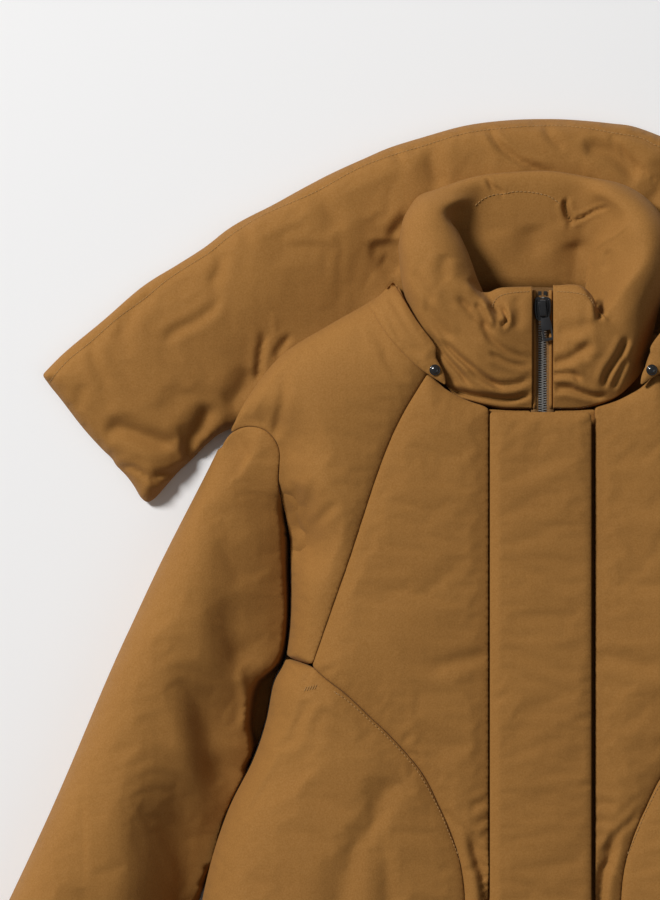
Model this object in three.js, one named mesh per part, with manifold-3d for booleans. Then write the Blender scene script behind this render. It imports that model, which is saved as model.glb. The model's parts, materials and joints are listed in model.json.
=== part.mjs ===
// A padded hooded coat lying flat on its back. Millimetres; +X is the wearer's left, +Y runs from
// the hem to the collar and +Z points up from the surface that the coat lies on.
import * as THREE from "three";
import { mergeVertices } from "three/addons/utils/BufferGeometryUtils.js";
import Module from "manifold-3d";

const wasm = await Module();
wasm.setup();

// ---- driving dimensions ----
const GAP = 0.3; // clearance between neighbouring pieces
const SEAM_GAP = 0.4; // clearance across a seam between two padded panels
const GRID = 38; // spacing of the body's surface net
const SLEEVE_GRID = 28;

const HEM_Y = -457.5;
const HEM_HALF = 330; // half the width at the hem
const WAIST_HALF = 229; // half the width at the cinched waist
const BACK_T = 26; // padded back panel
const HOOD_T = 26;
const LIFT = HOOD_T + SEAM_GAP; // the upper back rides this high, over the hood
const UPPER_THIN = 10; // the back panel is pressed this much thinner there
const CAVITY = 18; // room inside the body
const CAVITY_THIN = 6; // the room is this much lower between the shoulders
const EDGE_T = 8; // a padded panel at the outer edge
const FRONT_TOP = 94; // top of the padded front
const EDGE_ROUND = 70; // how far in from the outer edge the front reaches its height
const LINING_T = 2.4;
const LINING_IN = 14; // the linings stop this far inside the edges

const ZIP_HALF = 10; // half the opening that the zip closes
const CHAIN_Z = 78;
const TEETH_HALF = 3.9;
const TEETH_T = 4.4;
const CHAIN_SPLIT = 0.9; // half the space between the two rows, where the slider's wedge runs
const TAPE_T = 1.5;
const ZIP_TOP_Y = 297;
const ZIP_BOTTOM_Y = HEM_Y + 17.5;

const FLAP_SEAM_X = -47.7; // where the wind flap is sewn down
const FLAP_EDGE_X = 43.2; // its free edge
const FLAP_T = 9.5;
const FLAP_TOP_Y = 188.5;
const FLAP_CHANNEL = 8.2; // room for the slider under the flap
const RECESS_TOP = 80; // height of the fronts under the flap
const PRESS_STUDS = [150, 0, -150, -300];
const PRESS_R = 6.5;
const PRESS_BASE_T = 1.4;
const PRESS_POST_R = 2.2;
const PRESS_POST_H = 3.2;

const COLLAR_FRONT_Y = 190.4; // collar's base at the centre front
const COLLAR_BACK_Y = 285.4; // and at the centre back
const COLLAR_RIM_FRONT_Y = 301;
const COLLAR_RIM_BACK_Y = 401;
const COLLAR_BASE_HALF = 99.5;
const COLLAR_BULGE = 27;
const COLLAR_T = 22;
const COLLAR_TOP = 90; // height of its front at the base
const COLLAR_RISE = 13;

const HOOD_LINING_T = 2.4;
const HOOD_BAND = 8; // stitched band along the hood's face edge
const HOOD_BAND_T = 11;
const HOOD_EDGE = 14; // the pad is thinner this far in from its edges

const TAB_T = 5;
const TAB_CLEAR = 2.5; // between a neck tab and the collar, so that the tab can lift
const NECK_STUD = { x: 97, y: 226, r: 5 };

const SLEEVE_T = 62;
const SLEEVE_BACK_T = 20;
const SLEEVE_CAVITY = 14;
const SHOULDER = new THREE.Vector2(263, 149); // the point that a sleeve turns about
const CAP_R = 26; // round head of the sleeve
const CAP_CLEAR = 1;
const SLEEVE_LIFTED = 140; // within this distance of the shoulder the sleeve lies over the hood
const CUFF_OUTER = new THREE.Vector2(HEM_HALF + 191, -335);
const CUFF_WIDTH = 140;
const SLEEVE_LEAVES_Y = -262; // above this the sleeve's inner edge follows the body's side
const CAP_START = 30; // the sleeve's round head begins at this angle, on the outside

// ---- materials ----
const finish = (color, roughness, metalness = 0) => new THREE.MeshStandardMaterial({ color, roughness, metalness });
const shell = finish("#8a6132", 0.82);
const liningCloth = finish("#7c5629", 0.7);
const webbing = finish("#5b4630", 0.85);
const gunmetal = finish("#3c3a38", 0.35, 1);
const blackMetal = finish("#141414", 0.25, 1);

const coat = new THREE.Group();

// ---- outlines of the right half, as distance from the centre line and height ----
const v2 = (x, y) => new THREE.Vector2(x, y);
const smoothLine = (points, count) =>
  new THREE.SplineCurve(points.map(([x, y]) => v2(x, y))).getSpacedPoints(count);

const NECK_POINT = v2(130, 305);
const SIDE_LOW = v2(233, -57); // foot of the diagonal seam, at the cinched waist
const SIDE_SEAM_IN = v2(212, -57);
const DIAGONAL_TOP = v2(103, 222);

const neckFront = smoothLine([[ZIP_HALF, 190], [38, 191], [65, 198], [87, 209]], 5);
const neckSide = smoothLine([[103, 243], [115, 270], [124, 290], [NECK_POINT.x, NECK_POINT.y]], 3);
const neckBack = smoothLine([[101.5, 236.5], [88, 260], [51, 278], [0, 284.6]], 6);
const shoulder = smoothLine([[NECK_POINT.x, NECK_POINT.y], [191, 268], [235, 240], [265, 202], [281, 172]], 8);
const side = smoothLine(
  [[217, 72], [220, 27], [WAIST_HALF, -27], [248, -93], [284, -177], [305, -251], [HEM_HALF - 8, HEM_Y + 107], [HEM_HALF, HEM_Y + 10]], 12);
const hem = smoothLine([[HEM_HALF, HEM_Y + 10], [180, HEM_Y + 3.5], [0, HEM_Y]], 5);
const diagonal = smoothLine(
  [[DIAGONAL_TOP.x, DIAGONAL_TOP.y], [146, 140], [173, 58], [200, -24], [SIDE_SEAM_IN.x, SIDE_SEAM_IN.y]], 8);
const hip = smoothLine(
  [[SIDE_SEAM_IN.x, SIDE_SEAM_IN.y], [179, -60], [141, -98], [105, -143], [81, -191], [72, -251], [75, HEM_Y + 107],
    [78, HEM_Y + 1]], 14);

// The round armhole about the shoulder point, then down to the underarm.
const arc = (radius, from, to, steps) =>
  Array.from({ length: steps + 1 }, (_, i) => {
    const a = THREE.MathUtils.degToRad(from + ((to - from) * i) / steps);
    return v2(SHOULDER.x + radius * Math.cos(a), SHOULDER.y + radius * Math.sin(a));
  });
const CAP_OUT = 52; // the head's arc runs from this angle, on the outside,
const CAP_IN = 190; // to this one, on the body's side
const armholeLine = [[236, 120], [232, 96]];
const armhole = [...arc(CAP_R + CAP_CLEAR, CAP_OUT, CAP_IN, 8), ...armholeLine.map(([x, y]) => v2(x, y))];

const bodyOutline = [...shoulder, ...armhole, ...side];

// ---- height functions ----
const smooth = (t) => THREE.MathUtils.smoothstep(t, 0, 1);
const lifted = (y) => smooth((y - 30) / 100); // 0 low on the coat, 1 where it rides over the hood
function distanceTo(line, p) {
  let best = Infinity;
  for (let i = 1; i < line.length; i++) {
    const a = line[i - 1];
    const along = line[i].clone().sub(a);
    const t = THREE.MathUtils.clamp(p.clone().sub(a).dot(along) / Math.max(along.lengthSq(), 1e-9), 0, 1);
    best = Math.min(best, p.distanceTo(a.clone().addScaledVector(along, t)));
  }
  return best;
}
const edgeDistance = (x, y) => distanceTo(bodyOutline, v2(Math.abs(x), y));
const backLow = (x, y) => LIFT * lifted(y);
const backHigh = (x, y) => backLow(x, y) + BACK_T - UPPER_THIN * lifted(y);
const backLiningTop = (x, y) => backHigh(x, y) + GAP + LINING_T * (0.25 + 0.75 * smooth(edgeDistance(x, y) / 55));
const frontLow = (x, y) =>
  backHigh(x, y) + SEAM_GAP + (CAVITY - CAVITY_THIN * lifted(y)) * smooth(edgeDistance(x, y) / 55);
const frontShellLow = (x, y) => frontLow(x, y) + (LINING_T + GAP) * smooth(edgeDistance(x, y) / 55);
const frontLiningTop = (x, y) => frontShellLow(x, y) - GAP * smooth(edgeDistance(x, y) / 55);
const frontHigh = (x, y) => {
  const edge = backHigh(x, y) + SEAM_GAP + EDGE_T;
  return edge + (FRONT_TOP - edge) * smooth(edgeDistance(x, y) / EDGE_ROUND);
};

// ---- solids ----
function solidOf(geometry) {
  const bare = geometry.index ? geometry.toNonIndexed() : geometry.clone();
  bare.deleteAttribute("normal");
  bare.deleteAttribute("uv");
  const merged = mergeVertices(bare, 1e-3);
  return new wasm.Manifold(new wasm.Mesh({
    numProp: 3,
    vertProperties: merged.attributes.position.array,
    triVerts: new Uint32Array(merged.index.array),
  }));
}
function geometryOf(solid) {
  const { numProp, vertProperties, triVerts } = solid.getMesh();
  const positions = new Float32Array((vertProperties.length / numProp) * 3);
  for (let i = 0; i < positions.length / 3; i++)
    positions.set(vertProperties.subarray(i * numProp, i * numProp + 3), i * 3);
  return new THREE.BufferGeometry()
    .setAttribute("position", new THREE.BufferAttribute(positions, 3))
    .setIndex([...triVerts]);
}

// A closed shell over a net of points: point(i, j, side) gives the upper (side 1) and lower (side 0) layer.
function closedNet(nu, nv, point) {
  const positions = [];
  const faces = [];
  const at = (i, j, layer) => layer * (nu + 1) * (nv + 1) + j * (nu + 1) + i;
  for (let layer = 0; layer < 2; layer++)
    for (let j = 0; j <= nv; j++) for (let i = 0; i <= nu; i++) positions.push(...point(i / nu, j / nv, layer));
  const quad = (a, b, c, d) => faces.push(a, b, c, a, c, d);
  for (let j = 0; j < nv; j++)
    for (let i = 0; i < nu; i++) {
      quad(at(i, j, 1), at(i + 1, j, 1), at(i + 1, j + 1, 1), at(i, j + 1, 1));
      quad(at(i, j, 0), at(i, j + 1, 0), at(i + 1, j + 1, 0), at(i + 1, j, 0));
    }
  for (let i = 0; i < nu; i++) {
    quad(at(i, 0, 0), at(i + 1, 0, 0), at(i + 1, 0, 1), at(i, 0, 1));
    quad(at(i + 1, nv, 0), at(i, nv, 0), at(i, nv, 1), at(i + 1, nv, 1));
  }
  for (let j = 0; j < nv; j++) {
    quad(at(nu, j, 0), at(nu, j + 1, 0), at(nu, j + 1, 1), at(nu, j, 1));
    quad(at(0, j + 1, 0), at(0, j, 0), at(0, j, 1), at(0, j + 1, 1));
  }
  return new THREE.BufferGeometry()
    .setAttribute("position", new THREE.Float32BufferAttribute(positions, 3))
    .setIndex(faces);
}

// The layer between two height functions over a box, cut to an outline.
function layer(low, high, outline, spacing = GRID) {
  const box = new THREE.Box2().setFromPoints(outline);
  const x0 = Math.floor(box.min.x / spacing - 0.01) * spacing;
  const y0 = Math.floor(box.min.y / spacing - 0.01) * spacing;
  const nu = Math.ceil((box.max.x - x0) / spacing + 0.01);
  const nv = Math.ceil((box.max.y - y0) / spacing + 0.01);
  const slab = solidOf(closedNet(nu, nv, (u, v, upper) => {
    const x = x0 + u * nu * spacing;
    const y = y0 + v * nv * spacing;
    return [x, y, (upper ? high : low)(x, y)];
  }));
  return slab.intersect(prism(outline, -10, 140));
}
function prism(outline, z0, z1) {
  const g = new THREE.ExtrudeGeometry(new THREE.Shape(outline), { depth: z1 - z0, bevelEnabled: false, steps: 1 });
  return solidOf(g.translate(0, 0, z0));
}
function block(x0, x1, y0, y1, z0, z1) {
  return new THREE.BoxGeometry(x1 - x0, y1 - y0, z1 - z0).translate((x0 + x1) / 2, (y0 + y1) / 2, (z0 + z1) / 2);
}

// An outline drawn a little smaller, so that neighbours sewn to it keep clear.
function inset(outline, by) {
  const area = THREE.ShapeUtils.area(outline);
  const n = outline.length;
  const moved = outline.map((p, i) => {
    const before = p.clone().sub(outline[(i + n - 1) % n]).normalize();
    const after = outline[(i + 1) % n].clone().sub(p).normalize();
    const normal = v2(-(before.y + after.y), before.x + after.x).normalize();
    const half = Math.max(0.5, v2(-before.y, before.x).dot(normal));
    return p.clone().addScaledVector(normal, (Math.sign(area) * by) / half);
  });
  const closed = [...outline, outline[0]];
  return moved.filter((p) => distanceTo(closed, p) > 0.97 * by); // loops at tight corners fall away
}
const onSide = (outline, sign) => outline.map((p) => v2(sign * p.x, p.y));
const mirroredWhole = (half) => [...onSide(half, -1), ...[...half].reverse().filter((p) => p.x > 1e-6)];
const distinct = (points) => points.filter((p, i) => p.distanceTo(points[(i + 1) % points.length]) > 0.5);

function add(name, made, material) {
  const mesh = new THREE.Mesh(made.isBufferGeometry ? made : geometryOf(made), material);
  mesh.name = name;
  coat.add(mesh);
  return mesh;
}
const SIDES = [["right", -1], ["left", 1]];

// ---- the body ----
function torso() {
  // Neck at the centre back, round the shoulder, armhole and side, and along the hem to the centre.
  const backHalf = distinct([...[...neckBack].reverse(), ...neckSide, ...shoulder, ...armhole, ...side, ...hem]);
  const back = mirroredWhole(backHalf);
  add("back_panel", clearOfCollar(layer(backLow, backHigh, inset(back, GAP / 2))), shell);
  add("back_lining", clearOfCollar(layer((x, y) => backHigh(x, y) + GAP, backLiningTop, inset(back, LINING_IN))),
    liningCloth);

  const yoke = distinct([...[...diagonal].reverse(), v2(95, 243), ...neckSide, ...shoulder, ...armhole,
    ...side.filter((p) => p.y > SIDE_LOW.y + 6), SIDE_LOW]);
  const chest = distinct([...[...neckFront].reverse().slice(0, -1), v2(ZIP_HALF, 190), v2(ZIP_HALF, HEM_Y + 0.5),
    ...[...hip].reverse(), ...[...diagonal].reverse()]);
  const hipPanel = distinct([SIDE_LOW, ...side.filter((p) => p.y < SIDE_LOW.y - 6),
    ...hem.filter((p) => p.x > 90), ...[...hip].reverse()]);
  for (const [name, sign] of SIDES) {
    const front = distinct([v2(ZIP_HALF, 190), ...neckFront.slice(1), ...neckSide, ...shoulder, ...armhole, ...side,
      ...hem.filter((p) => p.x > 20), v2(ZIP_HALF, HEM_Y + 0.5)]);
    add("front_lining_" + name,
      clearOfCollar(layer(frontLow, frontLiningTop, inset(onSide(front, sign), LINING_IN))), liningCloth);
    const edgeX = sign < 0 ? FLAP_SEAM_X - GAP : FLAP_EDGE_X + 1.5;
    const recess = solidOf(block(Math.min(edgeX, 0), Math.max(edgeX, 0), HEM_Y - 20, 230, RECESS_TOP, 150));
    const padded = (outline) => clearOfCollar(
      layer(frontShellLow, frontHigh, inset(onSide(outline, sign), SEAM_GAP / 2)).subtract(recess));
    add("shoulder_panel_" + name, padded(yoke), shell);
    add("chest_panel_" + name, padded(chest), shell);
    add("hip_panel_" + name, padded(hipPanel), shell);
  }
}

// ---- the stand-up collar ----
// A padded band round the neck. turn runs from the right zip edge (0) round the back to the left one
// (2 pi), rise from the seam (0) to the rim (1), and depth is measured inwards from the outer face.
function collarPoint(turn, rise, depth) {
  const across = Math.cos(turn);
  const half = COLLAR_BASE_HALF + COLLAR_BULGE * Math.sin(Math.PI * Math.min(1, 0.62 * rise + 0.02)) - depth;
  const frontTop = COLLAR_TOP + COLLAR_RISE * Math.sin(Math.PI * Math.min(1, rise * 0.75)) - depth;
  const backFloor = LIFT + depth * 0.8;
  const sign = turn < Math.PI ? -1 : 1;
  const y0 = COLLAR_FRONT_Y + ((COLLAR_BACK_Y - COLLAR_FRONT_Y) * (1 - across)) / 2;
  const y1 = COLLAR_RIM_FRONT_Y + ((COLLAR_RIM_BACK_Y - COLLAR_RIM_FRONT_Y) * (1 - across)) / 2;
  return [
    (sign * (ZIP_HALF * (1 + across))) / 2 - half * Math.sin(turn),
    y0 + (y1 - y0) * rise,
    (frontTop + backFloor) / 2 + ((frontTop - backFloor) / 2) * across,
  ];
}
function band(outer, inner, margin = 0, around = 32, up = 4) {
  return closedNet(around, up, (u, v, upper) => {
    const turn = 2 * Math.PI * THREE.MathUtils.clamp(u, 1e-4, 1 - 1e-4);
    return collarPoint(turn, v * (1 + 2 * margin) - margin, upper ? inner : outer);
  });
}
// What is sewn to the collar is cut back from it by the seam's clearance.
const clearOfCollar = (solid, clearance = SEAM_GAP) => {
  const pieces = solid.subtract(solidOf(band(-clearance, COLLAR_T + SEAM_GAP, clearance / 60))).decompose();
  return pieces.sort((a, b) => b.volume() - a.volume())[0];
};
function collar() {
  add("collar_band", band(0, COLLAR_T), shell);
  add("collar_facing", band(COLLAR_T + GAP, COLLAR_T + GAP + LINING_T), liningCloth);
  const seat = COLLAR_T + LINING_T + 2.5 * GAP;
  add("hanger_loop", closedNet(8, 1, (u, v, upper) =>
    collarPoint(Math.PI + (u - 0.5) * 0.56, 0.06 + 0.08 * v, seat + (upper ? 2 : 0))), webbing);
}

// ---- the zip ----
function zip() {
  for (const [name, sign] of SIDES) {
    const span = (a, b) => (sign < 0 ? [-b, -a] : [a, b]);
    add("zip_tape_" + name,
      block(...span(TEETH_HALF + GAP, ZIP_HALF - GAP), ZIP_BOTTOM_Y, ZIP_TOP_Y, CHAIN_Z - TAPE_T / 2, CHAIN_Z + TAPE_T / 2),
      webbing);
    add("zip_teeth_" + name,
      block(...span(CHAIN_SPLIT, TEETH_HALF), ZIP_BOTTOM_Y, ZIP_TOP_Y - 4, CHAIN_Z - TEETH_T / 2, CHAIN_Z + TEETH_T / 2),
      gunmetal);
    add("zip_top_stop_" + name,
      block(...span(CHAIN_SPLIT, TEETH_HALF), ZIP_TOP_Y - 4 + GAP, ZIP_TOP_Y, CHAIN_Z - TEETH_T / 2, CHAIN_Z + TEETH_T / 2),
      gunmetal);
  }
  add("zip_retainer_box",
    block(-5.5, 5.5, ZIP_BOTTOM_Y - GAP - 9, ZIP_BOTTOM_Y - GAP, CHAIN_Z - TEETH_T / 2, CHAIN_Z + TEETH_T / 2), gunmetal);
}
const SLIDER = { half: 7.8, length: 21, plate: 2, bridge: 4.8, bridgeWidth: 5 };
const CHAIN_CLEAR = 0.5;
const PULL = { width: 9.5, length: 38, thick: 1.7, eye: 7.4 };
const sliderTop = CHAIN_Z + TEETH_T / 2 + CHAIN_CLEAR + SLIDER.plate;
const sliderY = ZIP_TOP_Y - 5 - SLIDER.length; // lower end, with the zip closed
// A bridge drawn in the plane of the chain and carried across the slider.
const acrossSlider = (points, width) =>
  new THREE.ExtrudeGeometry(new THREE.Shape(points.map(([y, z]) => v2(y, z))),
    { depth: width, bevelEnabled: false, steps: 1 }).rotateX(Math.PI / 2).rotateZ(Math.PI / 2).translate(-width / 2, 0, 0);
function slider() {
  const y1 = sliderY + SLIDER.length;
  const low = CHAIN_Z - TEETH_T / 2 - CHAIN_CLEAR;
  const high = CHAIN_Z + TEETH_T / 2 + CHAIN_CLEAR;
  const tape = TAPE_T / 2 + CHAIN_CLEAR;
  const channel = TEETH_HALF + CHAIN_CLEAR;
  const plates = solidOf(block(-SLIDER.half, SLIDER.half, sliderY, y1, low - SLIDER.plate, sliderTop))
    .subtract(solidOf(block(-channel, channel, sliderY - 1, y1 + 1, low, high)))
    .subtract(solidOf(block(-20, 20, sliderY - 1, y1 + 1, CHAIN_Z - tape, CHAIN_Z + tape)));
  const wedge = solidOf(block(GAP - CHAIN_SPLIT, CHAIN_SPLIT - GAP, sliderY + 6, y1, low - 1, high + 1));
  const [a, b, top] = [sliderY + 3, y1 - 2.5, sliderTop + SLIDER.bridge];
  const wall = 1.6;
  const bridge = acrossSlider([[a, sliderTop - 0.5], [b, sliderTop - 0.5], [b, top - 1.2], [b - 1.6, top], [a + 1.6, top],
    [a, top - 1.2]], SLIDER.bridgeWidth);
  const arch = acrossSlider([[a + wall, sliderTop], [b - wall, sliderTop], [b - wall, top - wall], [a + wall, top - wall]],
    SLIDER.bridgeWidth + 2);
  add("zip_slider", plates.add(wedge).add(solidOf(bridge).subtract(solidOf(arch))), blackMetal);
}
// The pull lies on the slider: an eye round the bridge, then a flat bar with a slot near its end.
function pull() {
  const hingeY = sliderY + SLIDER.length - 2.5 - 1.6 - 1.55;
  const z0 = sliderTop + 0.65;
  const w = PULL.width / 2;
  const end = hingeY + PULL.eye / 2 - PULL.length;
  const eyeHalf = SLIDER.bridgeWidth / 2 + 0.6;
  const bar = solidOf(block(-w, w, end, hingeY + 1.1, z0, z0 + PULL.thick))
    .subtract(solidOf(block(-eyeHalf, eyeHalf, sliderY + 3 - 1.2, hingeY - 1.1, z0 - 1, z0 + PULL.thick + 1)))
    .subtract(solidOf(block(-2.2, 2.2, end + 3, end + 11, z0 - 1, z0 + PULL.thick + 1)));
  add("zip_pull", bar, blackMetal);
}

// ---- the wind flap over the zip, and its hidden press studs ----
const lathe = (profile) => new THREE.LatheGeometry(profile.map(([r, z]) => v2(r, z)), 16).rotateX(Math.PI / 2);
function flap() {
  const low = RECESS_TOP + FLAP_CHANNEL;
  add("wind_flap", block(FLAP_SEAM_X, FLAP_EDGE_X, HEM_Y + 6, FLAP_TOP_Y, low, low + FLAP_T), shell);
  const studX = FLAP_EDGE_X - 2 * PRESS_R;
  PRESS_STUDS.forEach((y, i) => {
    const baseTop = PRESS_BASE_T;
    add("flap_stud_" + (i + 1), lathe([[0, 0], [PRESS_R, 0], [PRESS_R, baseTop], [PRESS_POST_R, baseTop],
      [PRESS_POST_R, baseTop + PRESS_POST_H], [0, baseTop + PRESS_POST_H]]).translate(studX, y, RECESS_TOP + GAP),
    gunmetal);
    const bottom = RECESS_TOP + 2 * GAP + baseTop;
    add("flap_socket_" + (i + 1), lathe([[0, PRESS_POST_H + GAP], [PRESS_POST_R + 0.5, PRESS_POST_H + GAP],
      [PRESS_POST_R + 0.5, 0], [PRESS_R, 0], [PRESS_R, low - GAP - bottom], [0, low - GAP - bottom]])
      .translate(studX, y, bottom), gunmetal);
  });
}

// ---- neck tabs, each closed with a snap ----
function neckTabs() {
  const outline = [[90, 212], [111, 229], [130, 248], [143, 266], [154, 282], [132, 301], [122, 283], [113, 264],
    [104, 245], [98, 243]].map(([x, y]) => v2(x, y));
  const rise = (y) => GAP + 3.4 * THREE.MathUtils.clamp((285 - y) / 40, 0, 1);
  for (const [name, sign] of SIDES) {
    const low = (x, y) => frontHigh(x, y) + rise(y);
    add("neck_tab_" + name,
      clearOfCollar(layer(low, (x, y) => low(x, y) + TAB_T, onSide(outline, sign)), TAB_CLEAR), shell);
    const x = sign * NECK_STUD.x;
    add("neck_stud_" + name, lathe([[0, 0], [NECK_STUD.r, 0], [NECK_STUD.r, 1.2], [1.8, 1.2], [1.8, 2.8], [0, 2.8]])
      .translate(x, NECK_STUD.y, FRONT_TOP + GAP), gunmetal);
    add("tab_snap_" + name, lathe([[0, 0], [NECK_STUD.r, 0], [NECK_STUD.r, 0.8], [3.6, 2.1], [0, 2.6]])
      .translate(x, NECK_STUD.y, FRONT_TOP + 2 * GAP + 3.4 + TAB_T), blackMetal);
  }
}

// ---- the hood, spread flat under the shoulders ----
// Its face edge is the long curve at the top; its lower edge lies under the coat.
const hoodFace = smoothLine([[454.5, 223.6], [415, 260], [330, 320], [215, 383], [130, 427], [60, 452], [0, 457.5]], 16);
const hoodEnd = smoothLine([[454.5, 223.6], [420, 182], [385, 141], [358, 106]], 3);
const hoodLower = smoothLine([[358, 106], [330, 125], [305, 152], [283, 174], [180, 177], [0, 178]], 8);
function hood() {
  const withinFace = hoodFace.map((p, i) => {
    const [a, b] = [hoodFace[Math.max(i - 1, 0)], hoodFace[Math.min(i + 1, hoodFace.length - 1)]];
    const t = i === hoodFace.length - 1 ? v2(-1, 0) : b.clone().sub(a).normalize();
    return p.clone().addScaledVector(v2(-t.y, t.x), HOOD_BAND);
  });
  const endLine = hoodEnd.slice(1);
  const lower = hoodLower.slice(1);
  const half = distinct([...[...withinFace].reverse(), ...endLine, ...lower]);
  const pad = inset(mirroredWhole(half), GAP / 2);
  add("hood_panel", prism(pad, HOOD_LINING_T + GAP, HOOD_T * 0.62).add(
    prism(inset(pad, HOOD_EDGE), HOOD_LINING_T + GAP, HOOD_T)), shell);
  add("hood_lining", prism(inset(pad, 2), 0, HOOD_LINING_T), liningCloth);
  const bandOutline = [...onSide([...hoodFace], -1), ...[...hoodFace].reverse().slice(1),
    ...withinFace.slice(0, -1), ...onSide([...withinFace].reverse(), -1)];
  add("hood_face_band", prism(distinct(bandOutline), 0, HOOD_BAND_T), shell);
}

// ---- sleeves ----
// Each is a front and a back half round one hollow, open at the cuff.
function sleeves() {
  const underarm = [...armholeLine.map(([x, y]) => v2(x, y)), ...side.filter((p) => p.y > SLEEVE_LEAVES_Y)];
  const inner = underarm.map((p) => v2(p.x + CAP_CLEAR, p.y));
  const outer = smoothLine([[CUFF_OUTER.x, CUFF_OUTER.y], [CUFF_OUTER.x - 74, -178], [369, 0], [293, 147]], 8);
  const along = outer[1].clone().sub(outer[0]).normalize();
  inner.push(v2(CUFF_OUTER.x - CUFF_WIDTH * along.y, CUFF_OUTER.y + CUFF_WIDTH * along.x));
  const outline = distinct([...inner, ...outer, ...arc(CAP_R, CAP_START, CAP_IN, 8)]);
  const edge = (x, y) => {
    const p = v2(Math.abs(x), y);
    return Math.min(distanceTo(outer, p), distanceTo(inner, p));
  };
  const rise = (x, y) => smooth((SLEEVE_LIFTED + 90 - v2(Math.abs(x), y).distanceTo(SHOULDER)) / 90);
  const backLow = (x, y) => LIFT * rise(x, y);
  const backTop = (x, y) => backLow(x, y) + SLEEVE_BACK_T - 6 * rise(x, y);
  const frontBase = (x, y) =>
    backTop(x, y) + SEAM_GAP + SLEEVE_CAVITY * (1 - rise(x, y) / 3) * smooth(edge(x, y) / 40);
  const frontTop = (x, y) => {
    const low = backTop(x, y) + SEAM_GAP + EDGE_T;
    return low + (SLEEVE_T + LIFT * rise(x, y) - low) * smooth(edge(x, y) / 45);
  };
  for (const [name, sign] of SIDES) {
    const cut = inset(onSide(outline, sign), GAP / 3);
    add("sleeve_back_" + name, layer(backLow, backTop, cut, SLEEVE_GRID), shell);
    add("sleeve_front_" + name, layer(frontBase, frontTop, cut, SLEEVE_GRID), shell);
  }
}

torso();
collar();
zip();
slider();
pull();
flap();
neckTabs();
hood();
sleeves();

export default coat;
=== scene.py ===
"""Padded hooded coat, lying flat on its back. Lengths in this file are millimetres until a mesh is made."""

import json
import math

import bpy
import numpy as np
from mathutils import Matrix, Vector
from mathutils.geometry import delaunay_2d_cdt

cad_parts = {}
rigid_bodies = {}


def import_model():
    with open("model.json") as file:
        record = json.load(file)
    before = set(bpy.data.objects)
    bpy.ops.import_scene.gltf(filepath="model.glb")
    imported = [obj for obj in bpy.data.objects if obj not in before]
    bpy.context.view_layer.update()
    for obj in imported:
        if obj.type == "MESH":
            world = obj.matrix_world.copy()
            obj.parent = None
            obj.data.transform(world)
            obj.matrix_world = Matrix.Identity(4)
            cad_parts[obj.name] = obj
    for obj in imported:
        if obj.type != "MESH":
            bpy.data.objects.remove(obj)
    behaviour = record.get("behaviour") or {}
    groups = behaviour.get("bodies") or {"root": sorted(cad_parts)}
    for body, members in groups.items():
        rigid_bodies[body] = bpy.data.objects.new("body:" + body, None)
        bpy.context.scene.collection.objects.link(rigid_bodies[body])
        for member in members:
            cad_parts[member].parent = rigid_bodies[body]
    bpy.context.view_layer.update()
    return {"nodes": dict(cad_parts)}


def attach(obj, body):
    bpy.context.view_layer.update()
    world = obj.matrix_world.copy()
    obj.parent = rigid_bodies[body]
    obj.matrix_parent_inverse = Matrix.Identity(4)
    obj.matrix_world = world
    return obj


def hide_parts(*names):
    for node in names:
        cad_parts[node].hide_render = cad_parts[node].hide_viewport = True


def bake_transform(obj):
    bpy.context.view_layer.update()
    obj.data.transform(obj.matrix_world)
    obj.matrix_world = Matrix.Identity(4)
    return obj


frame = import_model()

MM = 0.001
STEP = 4.6  # spacing of the cloth's net
SIDES = (("right", -1), ("left", 1))

# ---- sizes shared with the frame ----
TORSO_TOP = 91.0
LIFT = 26.4
BACK_T, UPPER_THIN = 26.0, 10.0
CHAIN_Z = 78.0
ZIP_HALF = 10.0
FLAP_X = (-47.7, 43.2)
FLAP_Z = (88.2, 97.7)
HEM_Y = -457.0
SHOULDER = np.array([263.0, 149.0])
CAP_R = 26.0
CUFF_OUTER = (521.0, -335.0)
LOWEST, LOWEST_THIN = 4.0, 0.6  # the cloth of a thick and of a thin piece stays this high
FLOOR_Z = 0.05
SOFT_FOLD = 4  # a fold softer than this fades slowly at its ends
SEAM_TUCK = 1.2  # depth of the ring that keeps a panel's edge crisp
ARMPIT_CREASE = 2.6  # width of the crease beside the sleeve


# ---- camera, in metres ----
VIEW_CENTRE = (-0.1908, 0.1544)
VIEW_HEIGHT = 0.81  # what the picture spans at the height FOCUS_Z
FOCUS_Z = 0.07


# ---- curves ----
def spline(points, count=None, step=STEP):
    """Catmull-Rom curve through the points, resampled at equal distances along its length."""
    p = np.asarray(points, float)
    q = np.vstack([2 * p[0] - p[1], p, 2 * p[-1] - p[-2]])
    t = np.linspace(0, 1, 24, endpoint=False)[:, None]
    spans = [0.5 * ((2 * b) + (c - a) * t + (2 * a - 5 * b + 4 * c - d) * t ** 2
                    + (3 * b - a - 3 * c + d) * t ** 3)
             for a, b, c, d in zip(q[:-3], q[1:-2], q[2:-1], q[3:])]
    dense = np.vstack(spans + [p[-1:]])
    along = np.concatenate([[0], np.cumsum(np.linalg.norm(np.diff(dense, axis=0), axis=1))])
    n = count or max(2, int(round(along[-1] / step)))
    at = np.linspace(0, along[-1], n + 1)
    return np.column_stack([np.interp(at, along, dense[:, k]) for k in range(dense.shape[1])])


def arc(centre, radius, start, end, step=STEP):
    n = max(3, int(abs(math.radians(end - start)) * radius / step))
    a = np.radians(np.linspace(start, end, n + 1))
    return np.column_stack([centre[0] + radius * np.cos(a), centre[1] + radius * np.sin(a)])


def join(*lines):
    """Lines end to end, without the doubled points."""
    p = np.vstack(lines)
    keep = np.concatenate([[True], np.linalg.norm(np.diff(p, axis=0), axis=1) > 0.4 * STEP])
    p = p[keep]
    return p[:-1] if np.linalg.norm(p[0] - p[-1]) < 0.4 * STEP else p


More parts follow.
